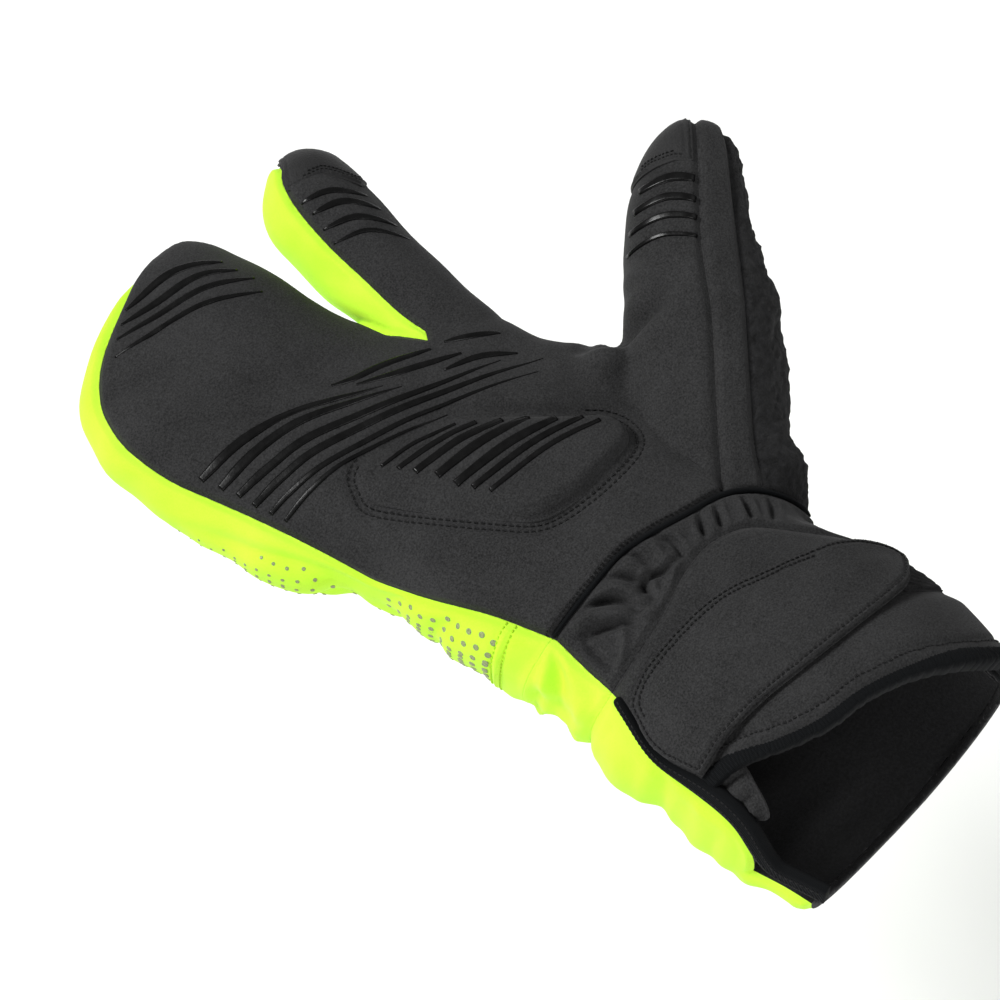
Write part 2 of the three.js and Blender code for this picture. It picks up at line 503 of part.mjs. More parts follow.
const padOutline = smooth([
  [-0.24, 1.83], [-0.15, 1.835], [0.01, 1.77], [0.12, 1.74], [0.22, 1.65], [0.33, 1.52], [0.41, 1.43],
  [0.4, 1.36], [0.33, 1.33], [0.18, 1.34], [0.04, 1.37], [-0.04, 1.41], [-0.1, 1.49], [-0.17, 1.59],
  [-0.24, 1.7], [-0.28, 1.78],
].map(onHand), 24, true);
const palmPad = onSkin(padOutline, PAD_HEIGHT);
const indexTip = onSkin(
  [[-0.24, 0.857], [0.16, 0.82], [0.38, 0.727], [0.7, 0.779], [0.5, 1.142], [-0.05, 1.142], [-0.12, 0.966]]
    .map(onIndex), PATCH_HEIGHT, SEAT_GAP, INDEX_ROOT.z);
const thumbTip = onSkin(
  [[-0.6, 0.761], [-0.29, 0.797], [-0.15, 0.807], [-0.03, 0.797], [-0.03, 1.131], [-0.6, 1.131]]
    .map(onThumb), PATCH_HEIGHT, SEAT_GAP, THUMB_TIP_LEVEL);

// Grip prints: ribbons of silicone that are thickest in the middle and run out at both ends
const GRIP_TIP_SHARE = 0.3;
const ribbon = (line) => {
  const halfAt = (index) => (GRIP_WIDTH / 2) * THREE.MathUtils.lerp(
    GRIP_TIP_SHARE, 1, Math.sin((Math.PI * index) / (line.length - 1)));
  const edge = (side) => line.map((_, index) => beside(line, side * halfAt(index))[index]);
  return [...edge(1), ...edge(-1).reverse()];
};
const PALM_GRIPS = [
  [[-0.53, 2.241], [-0.33, 2.199], [-0.14, 2.105], [0.1, 1.93]],
  [[-0.52, 2.157], [-0.32, 2.126], [-0.13, 2.042], [0.13, 1.89]],
  [[-0.51, 2.084], [-0.37, 2.052], [-0.18, 1.99], [0.13, 1.855], [0.41, 1.74]],
  [[-0.51, 2.01], [-0.37, 1.99], [-0.19, 1.95], [0.14, 1.82], [0.5, 1.66]],
  [[-0.5, 1.96], [-0.4, 1.95], [-0.22, 1.91], [0.13, 1.785], [0.44, 1.645]],
  [[-0.49, 1.92], [-0.36, 1.91], [-0.17, 1.87], [0.13, 1.755]],
];
const WEB_GRIPS = [
  [[0.01, 2.063], [0.08, 2.01], [0.18, 1.97], [0.32, 1.9]],
  [[0.06, 1.99], [0.15, 1.935], [0.24, 1.89], [0.36, 1.83]],
  [[0.27, 1.835], [0.36, 1.8], [0.41, 1.77], [0.47, 1.72]],
  [[0.37, 1.885], [0.44, 1.84], [0.51, 1.79]],
];
const PAD_GRIPS = [
  [[-0.16, 1.8], [-0.02, 1.77], [0.11, 1.72]],
  [[-0.14, 1.76], [0.01, 1.73], [0.15, 1.68]],
  [[-0.12, 1.72], [0.05, 1.685], [0.2, 1.63]],
  [[-0.09, 1.67], [0.09, 1.635], [0.25, 1.58]],
  [[-0.08, 1.62], [0.12, 1.58], [0.29, 1.52]],
  [[-0.06, 1.58], [0.15, 1.535], [0.34, 1.47]],
  [[-0.04, 1.54], [0.17, 1.495], [0.36, 1.43]],
];
const LOBE_GRIPS = [
  [[-0.15, 2.911], [0.02, 2.88], [0.11, 2.828], [0.2, 2.733]],
  [[-0.21, 2.88], [-0.07, 2.828], [0.09, 2.765], [0.2, 2.66]],
  [[-0.27, 2.849], [-0.12, 2.786], [0.05, 2.712], [0.21, 2.587]],
  [[-0.33, 2.807], [-0.18, 2.744], [0, 2.665], [0.18, 2.524]],
];
const INDEX_GRIPS = [
  [[-0.2, 0.784], [0.08, 0.758], [0.33, 0.685]],
  [[-0.2, 0.732], [0.1, 0.701], [0.33, 0.623]],
  [[-0.23, 0.67], [0.08, 0.633], [0.33, 0.55]],
  [[-0.25, 0.613], [0.06, 0.576], [0.33, 0.488]],
];
const THUMB_GRIPS = [
  [[-0.39, 0.73], [-0.2, 0.751], [-0.03, 0.74]],
  [[-0.43, 0.663], [-0.22, 0.684], [-0.03, 0.668]],
  [[-0.46, 0.602], [-0.23, 0.622], [-0.03, 0.607]],
  [[-0.48, 0.54], [-0.25, 0.56], [-0.03, 0.545]],
];
const skinPrint = layer(gloveSolid, SEAT_GAP, GRIP_HEIGHT);
const padPrint = layer(gloveSolid, 2 * SEAT_GAP + PAD_HEIGHT, GRIP_HEIGHT);
const gripSet = (name, rows, place, skin, steps, level = SEAM_LEVEL) => rows.map((row, index) => ({
  name: `${name}_${index + 1}`,
  solid: skin.intersect(prism(ribbon(smooth(row.map(place), steps)), () => level)),
  material: SILICONE,
}));

// The assembly
const PIECES = [
  { name: "palm_panel", solid: palmPanel, material: SOFTSHELL },
  { name: "thumb_side_panel", solid: thumbSidePanel, material: SOFTSHELL },
  { name: "thumb_wiping_panel", solid: fleecePanel, material: FLEECE },
  { name: "back_panel", solid: backPanel, material: NEON },
  { name: "wrist_gather_palm", solid: gatherPalm, material: SOFTSHELL },
  { name: "wrist_gather_back", solid: gatherBack, material: NEON },
  { name: "cuff_palm", solid: cuffPalm, material: SOFTSHELL },
  { name: "cuff_back", solid: cuffBack, material: NEON },
  { name: "wrist_piping", solid: wristPiping, material: BINDING },
  { name: "closure_tab", solid: closureTab, material: SOFTSHELL },
  { name: "loop_tape", solid: loopTape, material: FLEECE },
  { name: "cuff_hem_binding", solid: hemBinding, material: BINDING },
  { name: "cuff_edge_binding", solid: edgeBinding, material: BINDING },
  { name: "vent_gusset", solid: ventGusset, material: SOFTSHELL },
  { name: "palm_pad", solid: palmPad, material: SOFTSHELL },
  { name: "index_tip_patch", solid: indexTip, material: PATCH },
  { name: "thumb_tip_patch", solid: thumbTip, material: PATCH },
  ...gripSet("palm_grip", PALM_GRIPS, onHand, skinPrint, 5),
  ...gripSet("web_grip", WEB_GRIPS, onHand, skinPrint, 3),
  ...gripSet("pad_grip", PAD_GRIPS, onHand, padPrint, 3),
  ...gripSet("lobe_grip", LOBE_GRIPS, onHand, skinPrint, 4, LOBE_GRIP_LEVEL),
  ...gripSet("index_grip", INDEX_GRIPS, onIndex, skinPrint, 3, INDEX_ROOT.z),
  ...gripSet("thumb_grip", THUMB_GRIPS, onThumb, skinPrint, 3, THUMB_TIP_LEVEL),
];
function meshOf({ name, solid, material }) {
  const { vertProperties, triVerts } = solid.getMesh();
  const geometry = new THREE.BufferGeometry();
  geometry.setAttribute("position", new THREE.BufferAttribute(vertProperties, 3));
  geometry.setIndex(new THREE.BufferAttribute(triVerts, 1));
  geometry.computeVertexNormals();
  const mesh = new THREE.Mesh(geometry, material);
  mesh.name = name;
  return mesh;
}
const lobsterMitt = new THREE.Group();
lobsterMitt.add(...PIECES.map(meshOf));

export default lobsterMitt;
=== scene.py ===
"""A right-hand lobster claw mitt for winter cycling: black softshell palm with silicone grip prints, a
high-visibility back, a gathered wrist and a cuff with a wide closure tab. Every shape is worked out in
millimetres in the part's frame (+Y along the fingers, +Z out of the palm, +X towards the thumb)."""
import math
from collections import defaultdict

import bpy
import numpy as np
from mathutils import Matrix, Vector
from mathutils.bvhtree import BVHTree
from mathutils.kdtree import KDTree


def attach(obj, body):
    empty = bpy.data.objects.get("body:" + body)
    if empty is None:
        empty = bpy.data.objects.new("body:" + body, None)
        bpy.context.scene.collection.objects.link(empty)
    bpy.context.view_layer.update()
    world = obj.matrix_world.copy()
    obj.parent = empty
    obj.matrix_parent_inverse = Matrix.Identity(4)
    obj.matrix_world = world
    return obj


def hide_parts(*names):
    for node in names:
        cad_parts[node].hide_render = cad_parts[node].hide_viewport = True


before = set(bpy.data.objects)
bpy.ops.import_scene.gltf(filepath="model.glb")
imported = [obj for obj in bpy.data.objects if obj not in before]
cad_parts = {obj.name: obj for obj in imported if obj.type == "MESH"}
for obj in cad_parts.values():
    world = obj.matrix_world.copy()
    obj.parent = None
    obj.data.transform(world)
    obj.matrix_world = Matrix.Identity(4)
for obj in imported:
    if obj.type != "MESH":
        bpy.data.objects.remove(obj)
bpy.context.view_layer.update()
MM = 0.001

# Camera and stage
TARGET = np.array([0.0, 156.0, 14.0])
CAMERA_AZIMUTH = -55.0
CAMERA_ELEVATION = 65.0
CAMERA_DISTANCE = 1000.0
FIELD_WIDTH = 310.0
SENSOR = 36.0
FLOOR_LEVEL = -360.0


def make_camera():
    azimuth, elevation = math.radians(CAMERA_AZIMUTH), math.radians(CAMERA_ELEVATION)
    back = Vector((math.sin(azimuth) * math.cos(elevation), -math.cos(azimuth) * math.cos(elevation),
                   math.sin(elevation)))
    data = bpy.data.cameras.new("camera")
    data.sensor_width = SENSOR
    data.lens = SENSOR * CAMERA_DISTANCE / FIELD_WIDTH
    data.clip_start = 0.01
    data.clip_end = 20
    camera = bpy.data.objects.new("camera", data)
    bpy.context.scene.collection.objects.link(camera)
    camera.location = (Vector(TARGET) + back * CAMERA_DISTANCE) * MM
    camera.rotation_mode = "QUATERNION"
    camera.rotation_quaternion = (-back).to_track_quat("-Z", "Y")
    bpy.context.scene.camera = camera


# Sizes of the mitt, the same as the part's
CUFF_LENGTH, CUFF_WIDTH, CUFF_DEPTH = 88.0, 108.0, 74.0
PALM_LENGTH, PALM_WIDTH, PALM_DEPTH = 128.0, 104.0, 50.0
LOBE_LENGTH, LOBE_WIDTH, LOBE_DEPTH = 84.0, 90.0, 37.0
INDEX_LENGTH, INDEX_WIDTH, INDEX_DEPTH = 104.0, 36.0, 32.0
THUMB_LENGTH, THUMB_WIDTH, THUMB_DEPTH = 106.0, 48.0, 38.0
INDEX_HEADING = 12.0
THUMB_HEADING = 54.0
THUMB_PITCH = 13.0
PALM_START = CUFF_LENGTH
LOBE_START = PALM_START + PALM_LENGTH
GLOVE_LENGTH = LOBE_START + LOBE_LENGTH
INDEX_ROOT = np.array([0.38 * PALM_WIDTH, PALM_START + 0.78 * PALM_LENGTH, -1.0])
THUMB_ROOT = np.array([0.56 * PALM_WIDTH, PALM_START + 0.235 * PALM_LENGTH, 3.0])
ACROSS_MIDDLE = 4.0
SEAM_LEVEL = -3.0
SEAM_RISE = 3.5
VOXEL = 1.15
WALL = 2.2
SEED = 7

# Sections: along, shift, lift, half width, height to the palm, height to the back, turn in plan
CUFF_SECTIONS = [
    (-0.2, -0.034, 0, 0.445, 0.45, 0.45, 12), (0.06, -0.02, 0, 0.458, 0.468, 0.46, 12),
    (0.28, -0.012, 0, 0.488, 0.5, 0.493, 14), (0.51, 0.02, 0, 0.493, 0.5, 0.5, 14),
    (0.74, 0.034, 0, 0.492, 0.48, 0.48, 14), (0.9, 0.032, 0, 0.465, 0.43, 0.43, 12),
]
PALM_SECTIONS = [
    (0.03, 0.043, 0, 0.471, 0.57, 0.57, 10),
    (0.235, 0.045, 0, 0.48, 0.53, 0.52, 4), (0.36, 0.055, 0, 0.5, 0.52, 0.5, 1),
    (0.5, 0.096, 0, 0.519, 0.5, 0.49, 0), (0.6, 0.1, 0, 0.525, 0.49, 0.48, 0),
    (0.7, 0.064, 0, 0.508, 0.475, 0.475, 0),
    (0.88, -0.014, 0, 0.538, 0.43, 0.44, 0),
]
LOBE_SECTIONS = [
    (0, -0.133, 0, 0.528, 0.54, 0.54, 0), (0.19, -0.178, 0, 0.506, 0.5, 0.5, 0),
    (0.38, -0.183, 0.014, 0.483, 0.486, 0.486, 0), (0.56, -0.181, 0.027, 0.47, 0.46, 0.46, 0),
    (0.71, -0.156, 0.04, 0.444, 0.42, 0.42, 0), (0.82, -0.126, 0.054, 0.409, 0.35, 0.35, 0),
    (0.905, -0.089, 0.068, 0.34, 0.27, 0.27, 0), (0.96, -0.028, 0.075, 0.235, 0.18, 0.18, 0),
    (0.99, 0.01, 0.08, 0.11, 0.07, 0.07, 0), (1.0, 0.015, 0.08, 0.02, 0.01, 0.01, 0),
]
INDEX_SECTIONS = [
    (-0.1, 0, 0, 0.4, 0.45, 0.45, 0), (0.04, 0, 0, 0.44, 0.48, 0.48, 0),
    (0.2, -0.03, 0, 0.47, 0.48, 0.48, 0),
    (0.33, -0.01, 0, 0.45, 0.47, 0.47, 0),
    (0.57, -0.03, 0, 0.48, 0.5, 0.5, 0), (0.71, -0.02, 0, 0.5, 0.5, 0.5, 0),
    (0.83, 0, 0.02, 0.48, 0.465, 0.465, 0), (0.91, 0.025, 0.03, 0.41, 0.4, 0.4, 0),
    (0.97, 0.06, 0.05, 0.25, 0.23, 0.23, 0), (0.995, 0.07, 0.05, 0.1, 0.08, 0.08, 0),
    (1.003, 0.07, 0.05, 0.02, 0.01, 0.01, 0),
]
THUMB_SECTIONS = [
    (-0.3, 0.135, -0.02, 0.585, 0.52, 0.5, 0), (-0.08, 0.055, 0, 0.545, 0.54, 0.54, 0),
    (0.24, -0.005, 0, 0.56, 0.52, 0.52, 0), (0.38, 0.02, 0, 0.51, 0.55, 0.5, 0),
    (0.55, -0.035, 0, 0.47, 0.49, 0.47, 0), (0.71, -0.06, 0, 0.407, 0.43, 0.42, 0),
    (0.81, -0.04, 0, 0.365, 0.38, 0.37, 0), (0.9, -0.01, 0, 0.3, 0.32, 0.31, 0),
    (0.96, 0, 0, 0.2, 0.22, 0.22, 0), (0.99, 0, 0, 0.1, 0.11, 0.11, 0), (1, 0, 0, 0.02, 0.02, 0.02, 0),
]
# Broad dents: across, along, face (1 is the palm's), then shares: how wide, how long, how deep
FOLDS = [
    (0.06, 1.62, 1, 0.2, 0.07, 0.05), (0.44, 1.5, 1, 0.1, 0.05, 0.06),
    (-0.12, 2.168, 1, 0.45, 0.035, 0.035), (-0.3, 1.42, 1, 0.14, 0.07, -0.04),
    (-0.08, 2.314, -1, 0.1, 0.14, 0.03),
    (0.02, 1.95, -1, 0.5, 0.04, -0.05), (-0.36, 0.52, -1, 0.16, 0.04, 0.07),
    (0.1, 0.36, -1, 0.3, 0.035, 0.05), (0.05, 1.12, -1, 0.4, 0.035, 0.07),
]
STRETCH_ENDS = [0, PALM_START, LOBE_START, GLOVE_LENGTH]
STRETCH_WIDTHS = [CUFF_WIDTH, PALM_WIDTH, LOBE_WIDTH, LOBE_WIDTH]


def on_hand(shares):
    """Points in plan from shares: across the width, and along in counts of stretches (1 is the wrist)."""
    across, along = np.asarray(shares, float).T
    stops = range(len(STRETCH_ENDS))
    y = np.where(along < 0, along * STRETCH_ENDS[1], np.interp(along, stops, STRETCH_ENDS))
    return np.stack([across * np.interp(along, stops, STRETCH_WIDTHS), y], 1)


def on_finger(root, heading, pitch, width, length):
    """The same for a stall: its shares are across its width and along its length."""
    turn = math.radians(heading)
    reach = length * math.cos(math.radians(pitch))

    def place(shares):
        across, along = np.asarray(shares, float).T
        return np.stack([root[0] + along * reach * math.sin(turn) + across * width * math.cos(turn),
                         root[1] + along * reach * math.cos(turn) - across * width * math.sin(turn)], 1)
    return place


on_index = on_finger(INDEX_ROOT, INDEX_HEADING, 0, INDEX_WIDTH, INDEX_LENGTH)
on_thumb = on_finger(THUMB_ROOT, THUMB_HEADING, THUMB_PITCH, THUMB_WIDTH, THUMB_LENGTH)


def spline(rows, steps):
    """A smooth curve through the rows of a table, at even steps between neighbours."""
    rows = np.asarray(rows, float)
    padded = np.vstack([2 * rows[0] - rows[1], rows, 2 * rows[-1] - rows[-2]])
    t = (np.arange(steps) / steps)[:, None]
    found = [0.5 * (2 * b + (c - a) * t + (2 * a - 5 * b + 4 * c - d) * t ** 2
                    + (3 * b - a - 3 * c + d) * t ** 3)
             for a, b, c, d in zip(padded, padded[1:], padded[2:], padded[3:])]
    return np.vstack(found + [rows[-1:]])


def closed_spline(rows, steps):
    rows = np.asarray(rows, float)
    around = np.vstack([rows[-2:], rows, rows[:2]])
    return spline(around, steps)[2 * steps:-2 * steps]


def hand_line(shares):
    return spline(on_hand(shares), 4)


def thumb_line(shares):
    return spline(on_thumb(shares), 4)


# Seams in plan, in the same shares as the part's
CUFF_ULNAR_SEAM = hand_line([
    (-0.47, -0.15), (-0.48, 0.12), (-0.49, 0.28), (-0.46, 0.43), (-0.44, 0.61), (-0.42, 0.8), (-0.35, 1.01),
    (-0.33, 1.1), (-0.31, 1.2)])
HAND_ULNAR_SEAM = hand_line([
    (-0.31, 1.2), (-0.35, 1.34), (-0.41, 1.52), (-0.46, 1.68), (-0.51, 1.86), (-0.56, 2.126),
    (-0.59, 2.346), (-0.58, 2.555), (-0.53, 2.7), (-0.47, 2.78), (-0.38, 2.85), (-0.25, 2.91),
    (-0.13, 2.955), (0, 2.99), (0.15, 3.03), (0.36, 3)])
LOBE_RADIAL_EDGE = on_hand([(0.41, 2.82), (0.36, 2.545), (0.34, 2.314), (0.335, 2.15), (0.335, 2.05),
                            (0.36, 1.93)])
INDEX_SEAM = spline(on_index([
    (-0.24, 0.2), (-0.28, 0.31), (-0.29, 0.467), (-0.3, 0.613), (-0.26, 0.779), (-0.17, 0.893),
    (-0.04, 0.955), (0.1, 1.08)]), 4)
INDEX_OUTSIDE = on_index([(0.75, 1.038), (0.75, 0.623), (0.7, 0.208)])
WEB_OUTSIDE = on_hand([(0.7, 1.7), (0.8, 1.62)])
THUMB_OUTSIDE = on_thumb([(-0.65, 0.206), (-0.75, 0.514), (-0.6, 0.925), (-0.25, 1.152)])
THUMB_SEAM = thumb_line([
    (0, 1.131), (0, 0.925), (0, 0.74), (0, 0.514), (0.05, 0.288), (0.06, 0.072), (0.07, -0.123),
    (0.09, -0.278)])
FLEECE_SEAM = thumb_line([
    (0.14, 1.131), (0.19, 0.977), (0.22, 0.864), (0.25, 0.617), (0.28, 0.36), (0.3, 0.082), (0.31, -0.082),
    (0.36, -0.226), (0.4, -0.411)])
FLEECE_BACK_SEAM = thumb_line([
    (-0.9, 0.37), (-0.5, 0.319), (-0.2, 0.154), (0.02, -0.051), (0.12, -0.308), (0.12, -0.72)])
PIPING_LINE = hand_line([
    (-0.6, 1.23), (-0.31, 1.21), (-0.12, 1.2), (0.02, 1.19), (0.13, 1.16), (0.25, 1.12), (0.36, 1.09),
    (0.44, 1.05), (0.49, 0.99), (0.54, 0.88), (0.59, 0.75)])
CUFF_SEAM = hand_line([
    (-0.58, 1.07), (-0.43, 1.03), (-0.29, 1.02), (-0.1, 1.02), (0.08, 1.04), (0.21, 1.03), (0.32, 0.97),
    (0.39, 0.84), (0.47, 0.68), (0.53, 0.53), (0.6, 0.39)])
PALM_HEM = hand_line([
    (-0.57, 0.6), (-0.36, 0.52), (-0.25, 0.42), (-0.13, 0.33), (0.01, 0.275), (0.13, 0.2), (0.25, 0.1),
    (0.34, 0.02), (0.43, -0.03), (0.55, -0.09)])
BACK_HEM = hand_line([
    (-0.56, 0.1), (-0.45, 0.09), (-0.19, 0.05), (0.09, 0), (0.43, -0.05), (0.55, -0.07)])
TAB_SEWN_EDGE = [(-0.37, 0.925), (-0.26, 0.97), (-0.1, 0.95), (0.05, 0.9), (0.16, 0.83), (0.28, 0.76)]
TAB_OUTLINE = closed_spline(on_hand(TAB_SEWN_EDGE + [
    (0.4, 0.65), (0.455, 0.56), (0.46, 0.48), (0.42, 0.425), (0.34, 0.4), (0.14, 0.45), (-0.04, 0.51),
    (-0.18, 0.56), (-0.3, 0.59), (-0.42, 0.61), (-0.42, 0.8)]), 4)
PAD_OUTLINE = closed_spline(on_hand([
    (-0.24, 1.83), (-0.15, 1.835), (0.01, 1.77), (0.12, 1.74), (0.22, 1.65), (0.33, 1.52), (0.41, 1.43),
    (0.4, 1.36), (0.33, 1.33), (0.18, 1.34), (0.04, 1.37), (-0.04, 1.41), (-0.1, 1.49), (-0.17, 1.59),
    (-0.24, 1.7), (-0.28, 1.78)]), 4)
FAR = 400.0
HAND_OUTLINE = np.vstack([
    CUFF_ULNAR_SEAM[-5:-4], HAND_ULNAR_SEAM, LOBE_RADIAL_EDGE, INDEX_SEAM, INDEX_OUTSIDE, WEB_OUTSIDE,
    THUMB_SEAM[-10:], on_hand([(0.19, 0)]), [(0, -FAR)]])
THUMB_OUTLINE = np.vstack([
    on_hand([(0.46, 1.55)]), THUMB_OUTSIDE, THUMB_SEAM[:-6]])
THUMB_SIDE_OUTLINE = np.vstack([THUMB_SEAM, FLEECE_SEAM[::-1]])
FLEECE_OUTLINE = np.vstack([FLEECE_BACK_SEAM, on_thumb([(1.6, -0.7), (1.6, 1.5), (-0.9, 1.5)])])
WRIST_OUTLINE = np.vstack([
    CUFF_ULNAR_SEAM, HAND_ULNAR_SEAM[6:7], [(FAR, HAND_ULNAR_SEAM[6][1]), (FAR, CUFF_ULNAR_SEAM[0][1])]])


# Distances in plan
def side_of(line, points):
    """Signed distance in plan to a line: positive to the left of its direction."""
    places = points[:, :2]
    near = np.full(len(places), np.inf)
    side = np.ones(len(places))
    for start, end in zip(line, line[1:]):
        run = end - start
        rel = places - start
        share = np.clip(rel @ run / max(run @ run, 1e-9), 0, 1)
        distance = np.linalg.norm(rel - share[:, None] * run, axis=1)
        closer = distance < near
        near = np.where(closer, distance, near)
        side = np.where(closer, np.sign(run[0] * rel[:, 1] - run[1] * rel[:, 0]), side)
    return near * np.where(side == 0, 1, side)


def within(outline, points):
    """Signed distance in plan to a closed outline: positive inside."""
    ring = np.vstack([outline, outline[:1]])
    distance = np.abs(side_of(ring, points))
    inside = np.zeros(len(points), bool)
    for (x0, y0), (x1, y1) in zip(ring, ring[1:]):
        if y0 != y1:
            spans = (y0 > points[:, 1]) != (y1 > points[:, 1])
            inside ^= spans & (points[:, 0] < (x1 - x0) * (points[:, 1] - y0) / (y1 - y0) + x0)
    return np.where(inside, distance, -distance)


def side_level(points):
    """Height of the seam that parts the palm side from the back."""
    return SEAM_LEVEL + SEAM_RISE * points[:, 1] / GLOVE_LENGTH


def thumb_level(points, share):
    """Height of the thumb's middle, raised by a share of its depth."""
    turn = math.radians(THUMB_HEADING)
    reach = (points[:, 0] - THUMB_ROOT[0]) * math.sin(turn) + (points[:, 1] - THUMB_ROOT[1]) * math.cos(turn)
    return THUMB_ROOT[2] + reach * math.tan(math.radians(THUMB_PITCH)) + share * THUMB_DEPTH


# Fields: positive on a part of the skin, and zero on its border
def above(outline, points, level):
    return np.minimum(within(outline, points), points[:, 2] - level)


def palm_field(points):
    return np.maximum(above(HAND_OUTLINE, points, side_level(points)),
                      above(THUMB_OUTLINE, points, thumb_level(points, -0.25)))


def thumb_side_field(points):
    return above(THUMB_SIDE_OUTLINE, points, thumb_level(points, 0))


def wrist_field(points):
    return above(WRIST_OUTLINE, points, side_level(points))


# Smooth random relief: a sum of waves in seeded directions
def waves(points, size, seed, count=14):
    random = np.random.default_rng(SEED + seed)
    turns = random.normal(size=(count, 3))
    turns *= (2 * math.pi / size) / np.linalg.norm(turns, axis=1)[:, None]
    turns *= random.uniform(0.6, 1.5, count)[:, None]
    return np.sin(points @ turns.T + random.uniform(0, 2 * math.pi, count)).sum(1) * math.sqrt(2 / count)


def ease(value):
    """From 0 to 1 with a level start and end."""
    share = np.clip(value, 0, 1)
    return share * share * (3 - 2 * share)


def bell(value, width):
    return np.exp(-(value / width) ** 2)


def arch(share, cut, power):
    """A rise and fall over a line's length, with a cut at each end that keeps it off zero."""
    return np.sin(math.pi * np.clip(share, cut, 1 - cut)) ** power


def unit(rows):
    return rows / np.maximum(np.linalg.norm(rows, axis=1), 1e-12)[:, None]


# Meshes as arrays: points, unit normals and triangles
ON_LINE = 0.4


class Skin:
    def __init__(self, points, faces, normals=None):
        self.points = np.asarray(points, float)
        self.faces = np.asarray(faces, int)
        self.normals = self.facing() if normals is None else normals

    def facing(self):
        a, b, c = (self.points[self.faces[:, k]] for k in range(3))
        flat = np.cross(b - a, c - a)
        total = np.zeros_like(self.points)
        for k in range(3):
            for axis in range(3):
                total[:, axis] += np.bincount(self.faces[:, k], flat[:, axis], len(self.points))
        return unit(total)

    def sides(self):
        return np.vstack([self.faces[:, [0, 1]], self.faces[:, [1, 2]], self.faces[:, [2, 0]]])

    def compact(self, faces):
        used, faces = np.unique(faces, return_inverse=True)
        return Skin(self.points[used], faces.reshape(-1, 3), self.normals[used])

    def cut(self, values, snap=0.06):
        """The same surface with new points where a field crosses zero, and the field on it."""
        values = np.where(np.abs(values) < snap, 0.0, values)
        signs = np.sign(values)
        corner = signs[self.faces]
        lone = (corner != 0).all(1) & (np.abs(corner.sum(1)) == 1)
        split = (corner == 0).any(1) & (corner.sum(1) == 0) & (np.abs(corner).sum(1) == 2)
        first = np.where(lone, np.argmax(corner == -corner.sum(1)[:, None], 1), np.argmax(corner == 0, 1))
        turned = np.take_along_axis(self.faces, (first[:, None] + np.arange(3)) % 3, 1)
        a, b, c = turned[lone].T
        d, e, f = turned[split].T
        pairs = np.sort(np.vstack([np.stack([a, b], 1), np.stack([a, c], 1), np.stack([e, f], 1)]), 1)
        if not len(pairs):
            return self, values
        edges, place = np.unique(pairs, axis=0, return_inverse=True)
        place = place.ravel() + len(self.points)
        low, high = values[edges[:, 0]], values[edges[:, 1]]
        share = (low / (low - high))[:, None]
        blend = [array[edges[:, 0]] * (1 - share) + array[edges[:, 1]] * share
                 for array in (self.points, self.normals)]
        p, q, r = np.split(place, [len(a), 2 * len(a)])
        faces = np.vstack([
            self.faces[~(lone | split)], np.stack([a, p, q], 1), np.stack([p, b, c], 1),
            np.stack([p, c, q], 1), np.stack([d, e, r], 1), np.stack([d, r, f], 1)])
        return (Skin(np.vstack([self.points, blend[0]]), faces, unit(np.vstack([self.normals, blend[1]]))),
                np.concatenate([values, np.zeros(len(edges))]))

    def halves(self, values):
        """The parts of the surface where a field is positive, and where it isn't."""
        whole, values = self.cut(values)
        above = values[whole.faces].sum(1) > 0
        return whole.compact(whole.faces[above]), whole.compact(whole.faces[~above])

    def refined(self):
        """Each triangle in four."""
        edges, place = np.unique(np.sort(self.sides(), 1), axis=0, return_inverse=True)
        ab, bc, ca = np.split(place.ravel() + len(self.points), 3)
        a, b, c = self.faces.T
        normals = unit(np.vstack([self.normals, self.normals[edges].mean(1)]))
        return Skin(np.vstack([self.points, self.points[edges].mean(1)]), np.vstack([
            np.stack(t, 1) for t in ((a, ab, ca), (ab, b, bc), (ca, bc, c), (ab, bc, ca))]), normals)

    def rim(self):
        """The directed edges on the border."""
        edges = self.sides()
        _, place, count = np.unique(np.sort(edges, 1), axis=0, return_inverse=True, return_counts=True)
        return edges[count[place.ravel()] == 1]

    def rim_distance(self, reach=14.0, but=None):
        """Distance to the border, or to the part of it that isn't on a line in plan."""
        a, b = (self.points[self.rim()[:, k]] for k in range(2))
        if but is not None:
            off = np.abs(side_of(but, a)) > ON_LINE
            a, b = a[off], b[off]
        return distance_to(np.vstack([a, (2 * a + b) / 3, (a + 2 * b) / 3]), self.points, reach)

    def raised(self, height):
        moved = Skin(self.points + self.normals * np.asarray(height)[:, None], self.faces, self.normals)
        moved.normals = moved.facing()
        return moved

    def averaged(self, values, rounds):
        """Values evened out between neighbours, with the border's own kept."""
        pairs = self.sides()
        both, other = np.concatenate([pairs, pairs[:, ::-1]]).T
        count = np.bincount(both, minlength=len(values))
        inside = np.ones(len(values), bool)
        inside[self.rim()[:, 0]] = False
        for _ in range(rounds):
            middle = np.bincount(both, values[other], len(values)) / np.maximum(count, 1)
            values = np.where(inside, (values + middle) / 2, values)
        return values

    def tree(self):
        return BVHTree.FromPolygons(self.points.tolist(), self.faces.tolist())


def distance_to(samples, points, reach):
    """Distance from each point to the nearest sample, up to a reach."""
    tree = KDTree(len(samples))
    for index, sample in enumerate(samples):
        tree.insert(sample, index)
    tree.balance()
    low, high = samples.min(0) - reach, samples.max(0) + reach
    found = np.full(len(points), reach)
    for index in np.nonzero(((points > low) & (points < high)).all(1))[0]:
        found[index] = min(tree.find(points[index])[2], reach)
    return found


